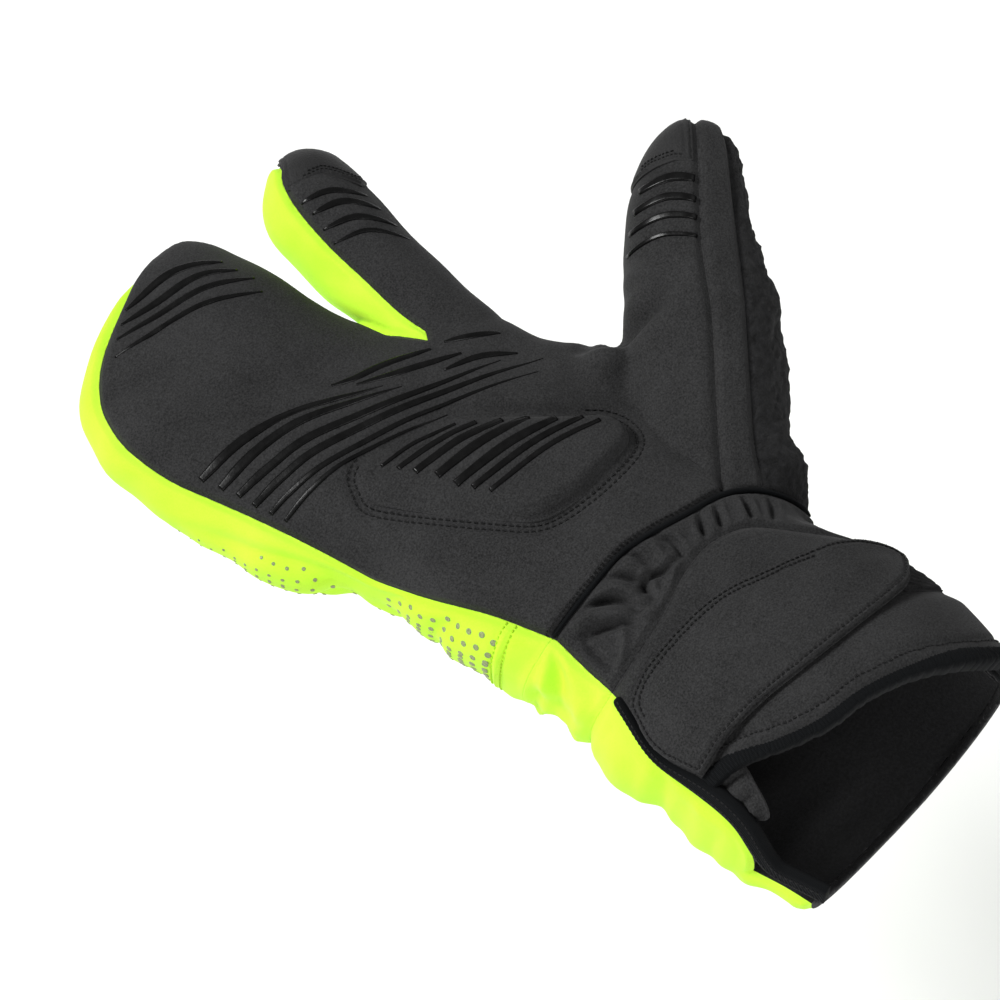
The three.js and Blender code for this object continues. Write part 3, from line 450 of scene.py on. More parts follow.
def isolines(skin, values):
    """The lines on a surface where a field is zero: points and normals of each, longest first."""
    values = np.where(values == 0, 1e-6, values)
    ends = {}
    links = defaultdict(list)
    crossed = np.abs(np.sign(values)[skin.faces].sum(1)) == 1
    for face in skin.faces[crossed]:
        keys = []
        for a, b in ((face[0], face[1]), (face[1], face[2]), (face[2], face[0])):
            if values[a] * values[b] < 0:
                key = (min(a, b), max(a, b))
                share = values[key[0]] / (values[key[0]] - values[key[1]])
                ends[key] = [array[key[0]] * (1 - share) + array[key[1]] * share
                             for array in (skin.points, skin.normals)]
                keys.append(key)
        links[keys[0]].append(keys[1])
        links[keys[1]].append(keys[0])
    lines = []
    left = set(links)
    starts = sorted(key for key in links if len(links[key]) == 1)
    while left:
        key = next((k for k in starts if k in left), None) or min(left)
        chain = []
        while key is not None:
            left.discard(key)
            chain.append(key)
            key = next((k for k in links[key] if k in left), None)
        if chain[0] in links[chain[-1]] and len(chain) > 2:
            chain.append(chain[0])
        if len(chain) > 3:
            lines.append(tuple(np.array([ends[k][n] for k in chain]) for n in range(2)))
    return sorted(lines, key=lambda line: -len(line[0]))


def resampled(points, normals, spacing):
    """A line's points and normals at even distances."""
    lengths = np.concatenate([[0], np.cumsum(np.linalg.norm(np.diff(points, axis=0), axis=1))])
    count = max(int(round(lengths[-1] / spacing)), 2)
    stops = np.linspace(0, lengths[-1], count + 1)

    def pick(array):
        return np.stack([np.interp(stops, lengths, array[:, k]) for k in range(3)], 1)
    return pick(points), unit(pick(normals))


def calmed(array, rounds):
    """A list of points or normals smoothed along its length."""
    for _ in range(rounds):
        array = (np.vstack([array[:1], array[:-1]]) + 2 * array + np.vstack([array[1:], array[-1:]])) / 4
    return array


# Blender objects from arrays
def add_piece(name, points, faces, materials, choice=None, smooth=True):
    mesh = bpy.data.meshes.new(name)
    mesh.from_pydata((points * MM).tolist(), [], faces if isinstance(faces, list) else faces.tolist())
    for material in materials:
        mesh.materials.append(material)
    mesh.polygons.foreach_set("use_smooth", [smooth] * len(mesh.polygons))
    if choice is not None:
        mesh.polygons.foreach_set("material_index", np.asarray(choice, np.int32))
    mesh.update()
    piece = bpy.data.objects.new(name, mesh)
    bpy.context.scene.collection.objects.link(piece)
    return piece


def closed(skin, below):
    """A closed body: the surface, the points under it, and a rim between them."""
    count = len(skin.points)
    a, b = skin.rim().T
    faces = np.vstack([skin.faces, skin.faces[:, ::-1] + count, np.stack([b, a, a + count], 1),
                       np.stack([b, a + count, b + count], 1)])
    return np.vstack([skin.points, below]), faces


def settle(piece, slot, *nodes):
    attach(piece, "root")
    if nodes:
        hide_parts(*nodes)
    return piece


# The body: three tubes joined, remeshed and smoothed
SIDES, STEPS = 96, 6
HAND_SQUARE, FINGER_SQUARE = 2.35, 2.1
LEAST = 0.1


def rows_in_mm(sections, start, length, width, depth):
    rows = np.asarray(sections, float)
    scale = np.array([length, width, depth, width, depth, depth, 1])
    return rows * scale + np.array([start, 0, 0, 0, 0, 0, 0])


def fold_depth(x, y, face):
    depth = np.zeros_like(x)
    for across, along, side, wide, long, deep in FOLDS:
        if side == face:
            (middle_x, middle_y), = on_hand([(across, along)])
            away = ((x - middle_x) / (wide * PALM_WIDTH)) ** 2 + ((y - middle_y) / (long * GLOVE_LENGTH)) ** 2
            depth += deep * PALM_DEPTH * np.exp(-away / 2)
    return depth


def tube(rows, root, heading, pitch, square, folded=False):
    """A tube through the rows' sections, whose roundness is the power of a superellipse."""
    rows = spline(rows, STEPS)
    turn, tilt = math.radians(heading), math.radians(pitch)
    forward = np.array([math.sin(turn) * math.cos(tilt), math.cos(turn) * math.cos(tilt), math.sin(tilt)])
    sideways = np.array([math.cos(turn), -math.sin(turn), 0])
    up = np.cross(sideways, forward)
    angle = 2 * math.pi * np.arange(SIDES) / SIDES
    reach = np.sign(np.cos(angle)) * np.abs(np.cos(angle)) ** (2 / square)
    rise = np.sign(np.sin(angle)) * np.abs(np.sin(angle)) ** (2 / square)
    rings = []
    for along, shift, lift, half, palm, back, twist in rows:
        across = np.array([math.cos(turn + math.radians(twist)), -math.sin(turn + math.radians(twist)), 0])
        middle = np.asarray(root) + forward * along + sideways * shift + up * lift
        height = np.where(rise > 0, max(palm, LEAST), max(back, LEAST))
        ring = middle + np.outer(reach * max(half, LEAST), across) + np.outer(rise * height, up)
        if folded:
            for face in (1, -1):
                pressed = fold_depth(ring[:, 0], ring[:, 1], face) * np.sin(angle)
                ring[:, 2] -= np.where(np.sign(np.sin(angle)) == face, pressed, 0)
        rings.append(ring)
    return loft(np.array(rings))


def loft(rings):
    """A closed tube over its rings: points and faces."""
    count, sides, _ = rings.shape
    faces = []
    for row in range(count - 1):
        for side in range(sides):
            after = (side + 1) % sides
            faces.append((row * sides + side, (row + 1) * sides + side, (row + 1) * sides + after,
                          row * sides + after))
    faces.append(tuple(range(sides)))
    faces.append(tuple(reversed(range((count - 1) * sides, count * sides))))
    return rings.reshape(-1, 3), faces


def joined(parts):
    """Several bodies as one list of points and one of faces."""
    points, faces, start = [], [], 0
    for part, polygons in parts:
        points.append(part)
        faces.extend(tuple(corner + start for corner in polygon) for polygon in polygons)
        start += len(part)
    return np.vstack(points), faces


HAND_ROWS = np.vstack([
    rows_in_mm(CUFF_SECTIONS, 0, CUFF_LENGTH, CUFF_WIDTH, CUFF_DEPTH),
    rows_in_mm(PALM_SECTIONS, PALM_START, PALM_LENGTH, PALM_WIDTH, PALM_DEPTH),
    rows_in_mm(LOBE_SECTIONS, LOBE_START, LOBE_LENGTH, LOBE_WIDTH, LOBE_DEPTH)])


# The cloth that fills the fork between the palm and the thumb
WEB_MIDDLE = np.array([57.3, 155.8, 4.0])
WEB_RADIUS = 11.0
WEB_HALF_HEIGHT = 19.0
WEB_TILTS = np.linspace(-1.5, 1.5, 17)


def circle(aside, along, count):
    """Points on a circle of radius 1 in the plane of two directions."""
    angle = 2 * math.pi * np.arange(count) / count
    return np.outer(np.cos(angle), aside) + np.outer(np.sin(angle), along)


def thumb_web():
    ring, up = circle((1, 0, 0), (0, 1, 0), 32), np.array([0, 0, WEB_HALF_HEIGHT])
    return loft(np.array([WEB_MIDDLE + ring * WEB_RADIUS * math.cos(tilt) + up * math.sin(tilt)
                          for tilt in WEB_TILTS]))


def body_skin():
    hand = tube(HAND_ROWS, (0, 0, 0), 0, 0, HAND_SQUARE, folded=True)
    index = tube(rows_in_mm(INDEX_SECTIONS, 0, INDEX_LENGTH, INDEX_WIDTH, INDEX_DEPTH), INDEX_ROOT,
                 INDEX_HEADING, 0, FINGER_SQUARE)
    thumb = tube(rows_in_mm(THUMB_SECTIONS, 0, THUMB_LENGTH, THUMB_WIDTH, THUMB_DEPTH), THUMB_ROOT,
                 THUMB_HEADING, THUMB_PITCH, FINGER_SQUARE)
    points, faces = joined([hand, index, thumb, thumb_web()])
    mesh = bpy.data.meshes.new("body")
    mesh.from_pydata(points.tolist(), [], faces)
    body = bpy.data.objects.new("body", mesh)
    bpy.context.scene.collection.objects.link(body)
    remesh = body.modifiers.new("remesh", "REMESH")
    remesh.mode = "VOXEL"
    remesh.voxel_size = VOXEL
    made = body.evaluated_get(bpy.context.evaluated_depsgraph_get()).to_mesh()
    made.calc_loop_triangles()
    found = np.zeros(3 * len(made.vertices))
    made.vertices.foreach_get("co", found)
    triangles = np.zeros(3 * len(made.loop_triangles), int)
    made.loop_triangles.foreach_get("vertices", triangles)
    bpy.data.objects.remove(body)
    bpy.data.meshes.remove(mesh)
    return smoothed(Skin(found.reshape(-1, 3), triangles.reshape(-1, 3)))


FORKS = on_hand([(0.38, 1.98)]), on_thumb([(-0.62, 0.16)])
FORK_REACH = 14.0
SHRINK, GROW = 0.5, 0.52
SMOOTH_ROUNDS, FORK_ROUNDS = 8, 25


def smoothed(skin):
    """Relaxed without shrinking, and rounded more in the two forks between the fingers."""
    edges = np.unique(np.sort(np.vstack([skin.faces[:, [0, 1]], skin.faces[:, [1, 2]]]), 1), axis=0)
    both = np.concatenate([edges[:, 0], edges[:, 1]])
    other = np.concatenate([edges[:, 1], edges[:, 0]])
    count = np.bincount(both, minlength=len(skin.points))[:, None]
    points = skin.points
    away = np.min([np.linalg.norm(points[:, :2] - fork[0], axis=1) for fork in FORKS], 0)
    fork = bell(away, FORK_REACH)[:, None]

    def middle(array):
        return np.stack([np.bincount(both, array[other, axis], len(array)) for axis in range(3)], 1) / count
    for _ in range(SMOOTH_ROUNDS):
        points = points + SHRINK * (middle(points) - points)
        points = points - GROW * (middle(points) - points)
    for _ in range(FORK_ROUNDS):
        points = points + SHRINK * fork * (middle(points) - points)
    return Skin(points, skin.faces)


# Materials
SOCKETS = {"sheen": "Sheen Weight", "sheen_roughness": "Sheen Roughness", "specular": "Specular IOR Level",
           "glow": "Emission Strength", "glow_color": "Emission Color"}


class Nodes:
    """A material's shader, with short ways to add the nodes that drive it."""

    def __init__(self, name, **sockets):
        self.material = bpy.data.materials.new(name)
        self.material.use_nodes = True
        self.tree = self.material.node_tree
        self.shader = self.tree.nodes["Principled BSDF"]
        for socket, value in sockets.items():
            self.shader.inputs[SOCKETS[socket]].default_value = value
        self.place = self.tree.nodes.new("ShaderNodeTexCoord").outputs["Object"]

    def fill(self, socket, value):
        if isinstance(value, bpy.types.NodeSocket):
            self.tree.links.new(value, socket)
        else:
            socket.default_value = value

    def add(self, kind, output, **inputs):
        node = self.tree.nodes.new("ShaderNode" + kind)
        for key, value in inputs.items():
            self.fill(node.inputs[key.replace("_", " ")], value)
        return node.outputs[output]

    def noise(self, scale, detail=3.0, rough=0.6):
        return self.add("TexNoise", "Fac", Vector=self.place, Scale=scale, Detail=detail, Roughness=rough)

    def cells(self, scale):
        return self.add("TexVoronoi", "Distance", Vector=self.place, Scale=scale)

    def bands(self, scale, turn, distortion=0.4):
        """Waves in one direction, turned by angles in degrees."""
        turned = self.add("Mapping", "Vector", Vector=self.place, Rotation=[math.radians(a) for a in turn])
        return self.add("TexWave", "Fac", Vector=turned, Scale=scale, Distortion=distortion, Detail=1.0,
                        Detail_Scale=2.0)

    def mix(self, first, share, second, rest):
        """A weighted sum of two values."""
        total = self.tree.nodes.new("ShaderNodeMath")
        total.operation = "ADD"
        for socket, value, weight in zip(total.inputs, (first, second), (share, rest)):
            if weight != 1:
                scaled = self.tree.nodes.new("ShaderNodeMath")
                scaled.operation = "MULTIPLY"
                self.fill(scaled.inputs[0], value)
                self.fill(scaled.inputs[1], weight)
                value = scaled.outputs[0]
            self.fill(socket, value)
        return total.outputs[0]

    def paint(self, tone, dark, light, worn, rough):
        """Drives the color between two stops of a tone, and the roughness between two values."""
        node = self.tree.nodes.new("ShaderNodeValToRGB")
        self.fill(node.inputs["Fac"], tone)
        for element, (position, color) in zip(node.color_ramp.elements, (dark, light)):
            element.position = position
            element.color = (*color, 1)
        self.fill(self.shader.inputs["Base Color"], node.outputs["Color"])
        self.fill(self.shader.inputs["Roughness"],
                  self.add("MapRange", "Result", Value=worn, To_Min=rough[0], To_Max=rough[1]))

    def bump(self, height, distance, strength):
        """Drives the normal: the relief's depth is in metres."""
        self.fill(self.shader.inputs["Normal"],
                  self.add("Bump", "Normal", Height=height, Distance=distance, Strength=strength))
        return self.material


TWILL = 1500, (0, 0, 40)


def softshell_black():
    """A matt, close-woven face with heathered yarns and a fine diagonal twill."""
    m = Nodes("softshell_black", sheen=0.05, sheen_roughness=0.45, specular=0.2)
    heather = m.noise(1650, 3.0, 0.75)
    tone = m.mix(heather, 0.8, m.noise(38), 0.2)
    m.paint(tone, (0.36, (0.005, 0.005, 0.0051)), (0.64, (0.034, 0.034, 0.03468)), heather, (0.72, 0.92))
    return m.bump(m.mix(m.bands(*TWILL), 1, heather, 1.6), 0.00009, 0.7)


def softshell_neon():
    """The same cloth in fluorescent yellow, with a faint painted glow (emission in its own colour) for its
    fluorescence: it gives back a little more light than falls on it.
    """
    # painted glow: a little emission in the cloth's own colour, which shines whatever the lamps do
    m = Nodes("softshell_neon", sheen=0.05, specular=0.2, glow=0.05, glow_color=(0.55, 1.0, 0.03, 1))
    heather = m.noise(1900, 2.0)
    tone = m.mix(heather, 0.35, m.noise(30), 0.65)
    m.paint(tone, (0.35, (0.46, 0.82, 0.025)), (0.62, (0.55, 0.92, 0.045)), heather, (0.6, 0.8))
    return m.bump(m.mix(m.bands(*TWILL), 1, heather, 1), 0.00008, 0.6)


def cloth_reverse():
    """The brushed inner face of the softshell."""
    m = Nodes("cloth_reverse", sheen=0.1, specular=0.15)
    nap = m.noise(1100, 4.0, 0.7)
    m.paint(nap, (0.3, (0.005, 0.005, 0.005)), (0.7, (0.017, 0.017, 0.018)), nap, (0.85, 1.0))
    return m.bump(nap, 0.0004, 0.8)


def wiping_fleece():
    """A short pile that gathers in small tufts."""
    m = Nodes("wiping_fleece", sheen=0.07, sheen_roughness=0.6, specular=0.05)
    tufts = m.noise(420, 4.0, 0.75)
    tone = m.mix(tufts, 0.7, m.noise(2600, 3.0, 0.8), 0.3)
    m.paint(tone, (0.35, (0.002, 0.002, 0.002)), (0.68, (0.02, 0.02, 0.021)), tufts, (0.9, 1.0))
    return m.bump(tone, 0.0012, 0.9)


def silicone_grip():
    """Printed silicone: nearly black, smooth, with a skin that is a little uneven."""
    m = Nodes("silicone_grip", specular=0.14)
    flow = m.noise(260)
    m.paint(flow, (0.3, (0.0015, 0.0015, 0.0015)), (0.7, (0.004, 0.004, 0.004)), flow, (0.2, 0.32))
    return m.bump(flow, 0.0002, 0.5)


def binding_tape():
    """Woven tape: close ribs across a dark, slightly blue yarn."""
    m = Nodes("binding_tape", sheen=0.01, specular=0.08)
    yarn = m.noise(2400, 2.0)
    tone = m.mix(m.bands(900, (0, 0, 12), 0.8), 0.6, yarn, 0.4)
    m.paint(tone, (0.25, (0.0015, 0.0017, 0.002)), (0.8, (0.007, 0.008, 0.009)), yarn, (0.65, 0.85))
    return m.bump(tone, 0.0003, 0.8)


def touch_patch():
    """A smoother, closely knitted cloth on the fingertips."""
    m = Nodes("touch_patch", sheen=0.05, specular=0.25)
    grain = m.noise(1800, 2.0)
    m.paint(grain, (0.3, (0.006, 0.006, 0.006)), (0.7, (0.014, 0.014, 0.0145)), grain, (0.6, 0.78))
    return m.bump(m.cells(1500), 0.00015, 0.8)


def sewing_thread(name, dark, light):
    """Twisted thread: fine slanted ridges with a soft shine."""
    m = Nodes(name, specular=0.25)
    twist = m.bands(2600, (0, 30, 35), 0.2)
    m.paint(twist, (0.2, dark), (0.8, light), twist, (0.4, 0.6))
    return m.bump(twist, 0.0001, 0.8)


def reflective_print():
    """Glass-bead ink: grey with a speckle of tiny beads."""
    m = Nodes("reflective_print", specular=0.6)
    beads = m.cells(3200)
    m.paint(beads, (0.1, (0.34, 0.4, 0.16)), (0.7, (0.16, 0.2, 0.08)), beads, (0.3, 0.55))
    return m.bump(beads, 0.0001, 0.8)


BLACK = softshell_black()
NEON = softshell_neon()
REVERSE = cloth_reverse()
FLEECE = wiping_fleece()
SILICONE = silicone_grip()
TAPE = binding_tape()
PATCH = touch_patch()
THREAD = sewing_thread("thread_black", (0.003, 0.003, 0.003), (0.016, 0.016, 0.0165))
NEON_THREAD = sewing_thread("thread_neon", (0.4, 0.7, 0.01), (0.6, 0.95, 0.03))
INK = reflective_print()


# Panels: relief of the cloth
HEM_WIDTH = 5.6
SEAM_DEPTH = 1.3
SEAM_WIDTH = 2.4
SEAM_SHOULDER = 0.3
SEAM_RINGS = (0.5, 1.2, 2.2)
PANEL_CALM = 5.0

# Creases on the hand: their line in shares, half width in mm, depth in mm (below 0 is a ridge)
PALM_CREASES = [
    ([(-0.24, 2.754), (-0.18, 2.702), (-0.09, 2.555), (0, 2.388)], 1.8, 0.9),
    ([(-0.53, 2.754), (-0.47, 2.723), (-0.37, 2.66), (-0.28, 2.587)], 1.9, 1.0),
    ([(-0.44, 2.461), (-0.32, 2.314), (-0.23, 2.21), (-0.03, 2.031)], 1.8, 0.9),
    ([(0.58, 1.63), (0.65, 1.565), (0.7, 1.53), (0.755, 1.513), (0.8, 1.5), (0.85, 1.497), (0.9, 1.505)],
     3.4, 3.6),
    ([(0.845, 1.61), (0.88, 1.597), (0.905, 1.558), (0.9, 1.517), (0.865, 1.48)], 2.8, -1.5),
    ([(-0.12, 1.14), (0, 1.16), (0.14, 1.13), (0.25, 1.17)], 7.0, 0.9),
    ([(0.3, 1.86), (0.42, 1.74), (0.5, 1.62), (0.53, 1.5)], 6.0, 0.8),
]
BACK_CREASES = [
    ([(-0.64, 2.23), (-0.62, 2.042), (-0.58, 1.92), (-0.5, 1.8)], 2.0, 0.8),
    ([(-0.6, 1.78), (-0.5, 1.74), (-0.42, 1.69)], 3.0, 2.2),
    ([(-0.55, 1.9), (-0.3, 1.86), (0, 1.9), (0.2, 1.84)], 4.5, 1.4),
    ([(-0.55, 1.58), (-0.42, 1.55), (-0.2, 1.6), (0.1, 1.53)], 3.5, 1.8),
    ([(-0.5, 1.46), (-0.38, 1.44), (-0.1, 1.47), (0.2, 1.42)], 3.0, 1.5),
    ([(-0.5, 1.34), (-0.3, 1.32), (0, 1.33), (0.35, 1.3)], 1.3, 1.1),
]
EDGE_CREASES = [
    ([(-0.69, 2.25), (-0.665, 2.15), (-0.61, 1.934), (-0.53, 1.785), (-0.435, 1.6), (-0.385, 1.46)],
     1.5, 1.5),
    ([(-0.6, 2.22), (-0.57, 2.0), (-0.5, 1.83), (-0.4, 1.62)], 3.4, -0.9),
    ([(-0.52, 1.7), (-0.47, 1.62), (-0.43, 1.58)], 2.2, 1.6),
    ([(-0.48, 1.5), (-0.43, 1.45), (-0.4, 1.42)], 2.0, 1.3),
    ([(-0.5, 1.58), (-0.45, 1.54), (-0.41, 1.49)], 2.6, -1.3),
]
CUFF_BACK_CREASES = [
    ([(-0.55, 0.78), (-0.44, 0.74), (-0.25, 0.77), (0.1, 0.7)], 4.5, 2.2),
    ([(-0.55, 0.5), (-0.45, 0.47), (-0.3, 0.52), (-0.1, 0.46)], 4.0, 1.5),
    ([(-0.52, 0.27), (-0.42, 0.25), (-0.2, 0.29), (0.1, 0.24)], 4.0, 1.2),
]


SHOULDER = 0.35
SHOULDER_PLACE = 2.1


def creased(points, creases):
    """Height lost to creases, with a low shoulder on each side and ends that run out."""
    height = np.zeros(len(points))
    for shares, width, depth in creases:
        line = spline(on_hand(shares), 5)
        runs = np.linalg.norm(np.diff(line, axis=0), axis=1)
        before = np.concatenate([[0], np.cumsum(runs)])
        near = np.full(len(points), np.inf)
        share = np.zeros(len(points))
        for index, (start, end) in enumerate(zip(line, line[1:])):
            run = end - start
            rel = points[:, :2] - start
            t = np.clip(rel @ run / (run @ run), 0, 1)
            distance = np.linalg.norm(rel - t[:, None] * run, axis=1)
            closer = distance < near
            near = np.where(closer, distance, near)
            share = np.where(closer, (before[index] + t * runs[index]) / before[-1], share)
        height -= depth * arch(share, 0.02, 0.6) * (
            bell(near, width) - SHOULDER * bell(near - SHOULDER_PLACE * width, width))
    return height


def sunk(distance):
    """The cloth turns down into a seam, and stands a little proud beside it."""
    return (-SEAM_DEPTH * (1 - ease(distance / SEAM_WIDTH))
            + SEAM_SHOULDER * bell(distance - 1.6 * SEAM_WIDTH, SEAM_WIDTH))


def panel(name, skin, relief, cloth, slot, node, flat=None, fine=False):
    """One panel of cloth: cut finer along its seams, given its relief and its thickness. Its edge isn't
    sunk on a flat line, which other cloth covers."""
    if fine:
        skin = skin.refined()
    for ring in SEAM_RINGS:
        skin, _ = skin.cut(skin.rim_distance() - ring)
    distance = skin.rim_distance()
    sewn = skin.rim_distance(but=flat)
    skin = skin.raised(sunk(sewn) + relief(skin, distance) * ease(distance / PANEL_CALM))
    points, faces = closed(skin, skin.points - skin.normals * WALL)
    inner = np.arange(len(faces)) >= len(skin.faces)
    settle(add_piece(name, points, faces, [cloth, REVERSE], inner), slot, node)
    return skin


PAD_GROOVE = 1.3


def palm_relief(skin, distance):
    facing = ease(skin.normals[:, 2] + 0.4)
    groove = -PAD_GROOVE * bell(-within(PAD_OUTLINE, skin.points) - 1.8, 2.4)
    return (creased(skin.points, PALM_CREASES) * facing + 0.35 * waves(skin.points, 30, 1)
            + 0.5 * waves(skin.points, 70, 2) + groove)


WRIST_BACK_SEAM = spline(on_hand([(-0.3, 1.315), (-0.362, 1.311), (-0.431, 1.302), (-0.493, 1.285),
                                  (-0.6, 1.26)]), 6)
WRIST_BACK_ROWS = (1.5, -1.5)


def wrist_back_ridge(skin):
    """A seam across the back's edge: a ridge with a sewn valley on each side."""
    away = side_of(WRIST_BACK_SEAM, skin.points)
    near = ease(skin.normals[:, 2] + 0.9) * (skin.points[:, 0] < 0)
    rows = sum(bell(away - row, 0.8) for row in WRIST_BACK_ROWS)
    return near * (0.9 * bell(away, 1.3) - 0.8 * rows)


def back_relief(skin, distance):
    below = ease(0.5 - skin.normals[:, 2])
    toward_wrist = ease((LOBE_START - skin.points[:, 1]) / PALM_LENGTH)
    return (wrist_back_ridge(skin) + creased(skin.points, BACK_CREASES) * below
            + 0.35 * waves(skin.points, 26, 3) + creased(skin.points, EDGE_CREASES)
            + (0.3 + 1.0 * toward_wrist) * waves(skin.points, 34, 4))


def side_relief(skin, distance):
    return 0.3 * waves(skin.points, 24, 5)


FLEECE_BASE = on_thumb([(0.52, -0.12)])[0]
FLEECE_BASE_RISE = 3.4


def fleece_relief(skin, distance):
    tufts = 0.16 * waves(skin.points, 4.2, 6, 30) + 0.12 * waves(skin.points, 2.4, 7, 40)
    base = ease((6 - np.linalg.norm(skin.points[:, :2] - FLEECE_BASE, axis=1) / 2.2) / 6)
    return 0.5 * waves(skin.points, 17, 8) + tufts + FLEECE_BASE_RISE * base


def gather_share(points):
    """From 0 at the cuff's seam to 1 at the piping."""
    short, past = side_of(CUFF_SEAM, points), -side_of(PIPING_LINE, points)
    return np.clip(short / np.maximum(short + past, 1e-6), 0, 1)


GATHER_FOLDS = [
    ([(-0.27, 1.19), (-0.248, 1.185), (-0.178, 1.145), (-0.134, 1.097), (-0.1, 1.085)], 1.84, -2.75),
    ([(-0.28, 1.155), (-0.21, 1.12), (-0.165, 1.085), (-0.14, 1.05)], 1.18, 2.46),
    ([(-0.16, 1.205), (-0.14, 1.197), (-0.086, 1.144), (-0.076, 1.098), (-0.092, 1.058)], 1.84, -2.61),
    ([(-0.19, 1.19), (-0.13, 1.15), (-0.105, 1.11), (-0.11, 1.07)], 1.05, 2.17),
    ([(-0.08, 1.2), (-0.045, 1.15), (-0.03, 1.1), (-0.06, 1.05)], 1.18, 2.46),
    ([(-0.07, 1.086), (-0.006, 1.1), (0.053, 1.077), (0.11, 1.07)], 1.12, 2.75),
    ([(0.105, 1.11), (0.06, 1.06), (0.0, 1.035), (-0.07, 1.03), (-0.14, 1.06)], 1.68, -2.46),
    ([(0.05, 1.2), (0.087, 1.16), (0.085, 1.12), (0.05, 1.08)], 1.52, -2.32),
    ([(0.01, 1.2), (0.035, 1.15), (0.03, 1.11)], 1.12, 2.32),
    ([(0.12, 1.18), (0.141, 1.112), (0.119, 1.07), (0.1, 1.03)], 1.18, 2.32),
    ([(0.28, 1.11), (0.24, 1.08), (0.19, 1.035)], 1.12, 2.9),
    ([(0.33, 1.09), (0.3, 1.065), (0.25, 1.02)], 1.05, 2.61),
    ([(0.41, 1.05), (0.38, 1.02), (0.33, 0.975)], 1.12, 2.61),
    ([(0.46, 1.0), (0.43, 0.96), (0.38, 0.92)], 1.05, 1.89),
    ([(-0.26, 1.15), (-0.28, 1.108), (-0.287, 1.05)], 1.12, 1.89),
    ([(-0.163, 1.093), (-0.228, 1.045), (-0.295, 1.035)], 1.52, -1.89),
]


def gather_relief(skin, distance):
    """Folds drawn in by the elastic: a few chevrons near the middle, and short dents under the piping."""
    points = skin.points
    return (creased(points, GATHER_FOLDS) + 0.35 * waves(points, 12, 10) + 0.5 * waves(points, 26, 9)
            - 0.8 * np.sin(math.pi * gather_share(points)))


GATHER_PITCH = 12.5
GATHER_DEPTH = 2.1
GATHER_BACK_FOLDS = [
    ([(-0.36, 1.27), (-0.37, 1.24), (-0.39, 1.215), (-0.42, 1.2)], 1.7, 1.8),
    ([(-0.34, 1.2), (-0.36, 1.175), (-0.385, 1.15), (-0.415, 1.13)], 1.8, 1.9),
    ([(-0.37, 1.22), (-0.41, 1.17), (-0.45, 1.16)], 2.2, -1.7),
    ([(-0.45, 1.265), (-0.455, 1.23), (-0.45, 1.19), (-0.435, 1.15)], 1.9, 1.7),
    ([(-0.35, 1.12), (-0.4, 1.08), (-0.43, 1.06)], 2.3, -1.5),
    ([(-0.36, 1.05), (-0.42, 1.02), (-0.48, 1.0)], 2.0, 1.8),
    ([(-0.49, 1.21), (-0.5, 1.15), (-0.48, 1.1)], 3.2, -2.2),
]


def gather_back_relief(skin, distance):
    """Irregular pleats that run along the glove between the two seams, with narrow valleys."""
    points = skin.points
    around = np.arctan2(points[:, 2], points[:, 0] - ACROSS_MIDDLE) * 0.5 * CUFF_WIDTH
    phase = math.pi * around / GATHER_PITCH + 1.5 * waves(points, 34, 9) + 0.05 * points[:, 1]
    pleats = 2 * np.abs(np.sin(phase)) ** 0.55 - 1.25
    share = gather_share(points)
    under = ease(0.3 - skin.normals[:, 2])
    return (under * (GATHER_DEPTH * arch(share, 0.03, 0.7) * pleats - 1.2 * np.sin(math.pi * share))
            + creased(points, GATHER_BACK_FOLDS) + 0.4 * waves(points, 12, 10))


ROLL_HEIGHT = 2.6
ROLL_REACH = 30.0
HEM_FOLD_GAP = 2.6
HEM_FOLD_DEPTH = 0.7


def cuff_relief(skin, distance):
    """Between the tab's loose edge and the hem the cloth puffs up in a roll, with a fold above the hem."""
    hem, low = side_of(PALM_HEM, skin.points), -within(TAB_OUTLINE, skin.points)
    share = np.clip(hem / np.maximum(hem + low, 1e-6), 0, 1)
    roll = np.where(low > 0, np.sin(math.pi * share) ** 0.8 * ease((hem + low) / 14), 0)
    fold = bell(hem - HEM_WIDTH - HEM_FOLD_GAP, 0.9) * (low > 1)
    return (0.4 * waves(skin.points, 40, 11) + 0.6 * ease(distance / 6)
            + ROLL_HEIGHT * roll * ease((ROLL_REACH - hem) / 8) - HEM_FOLD_DEPTH * fold)


CUFF_EDGE_FOLDS = [
    ([(-0.42, 0.97), (-0.46, 0.9), (-0.49, 0.82), (-0.48, 0.75)], 3.0, -1.6),
    ([(-0.4, 0.76), (-0.44, 0.72), (-0.48, 0.68)], 2.6, 1.6),
    ([(-0.43, 0.58), (-0.47, 0.55), (-0.5, 0.48)], 2.8, -1.3),
    ([(-0.45, 0.42), (-0.48, 0.38), (-0.51, 0.33)], 2.4, 1.3),
]


def cuff_back_relief(skin, distance):
    below = ease(0.5 - skin.normals[:, 2])
    return (creased(skin.points, CUFF_BACK_CREASES) * below + creased(skin.points, CUFF_EDGE_FOLDS)
            + 0.7 * waves(skin.points, 38, 12) + 0.8 * ease(distance / 6))


body = body_skin()
hand_skin, wrist_skin = body.halves(side_of(PIPING_LINE, body.points))
gather_skin, cuff_skin = wrist_skin.halves(side_of(CUFF_SEAM, wrist_skin.points))
palm_skin, other_skin = hand_skin.halves(palm_field(hand_skin.points))
thumb_skin, other_skin = other_skin.halves(thumb_side_field(other_skin.points))
fleece_skin, back_skin = other_skin.halves(within(FLEECE_OUTLINE, other_skin.points))
gather_palm_skin, gather_back_skin = gather_skin.halves(wrist_field(gather_skin.points))
cuff_palm_skin, cuff_back_skin = cuff_skin.halves(wrist_field(cuff_skin.points))
cuff_palm_skin, _ = cuff_palm_skin.halves(side_of(PALM_HEM, cuff_palm_skin.points))
cuff_back_skin, _ = cuff_back_skin.halves(side_of(BACK_HEM, cuff_back_skin.points))

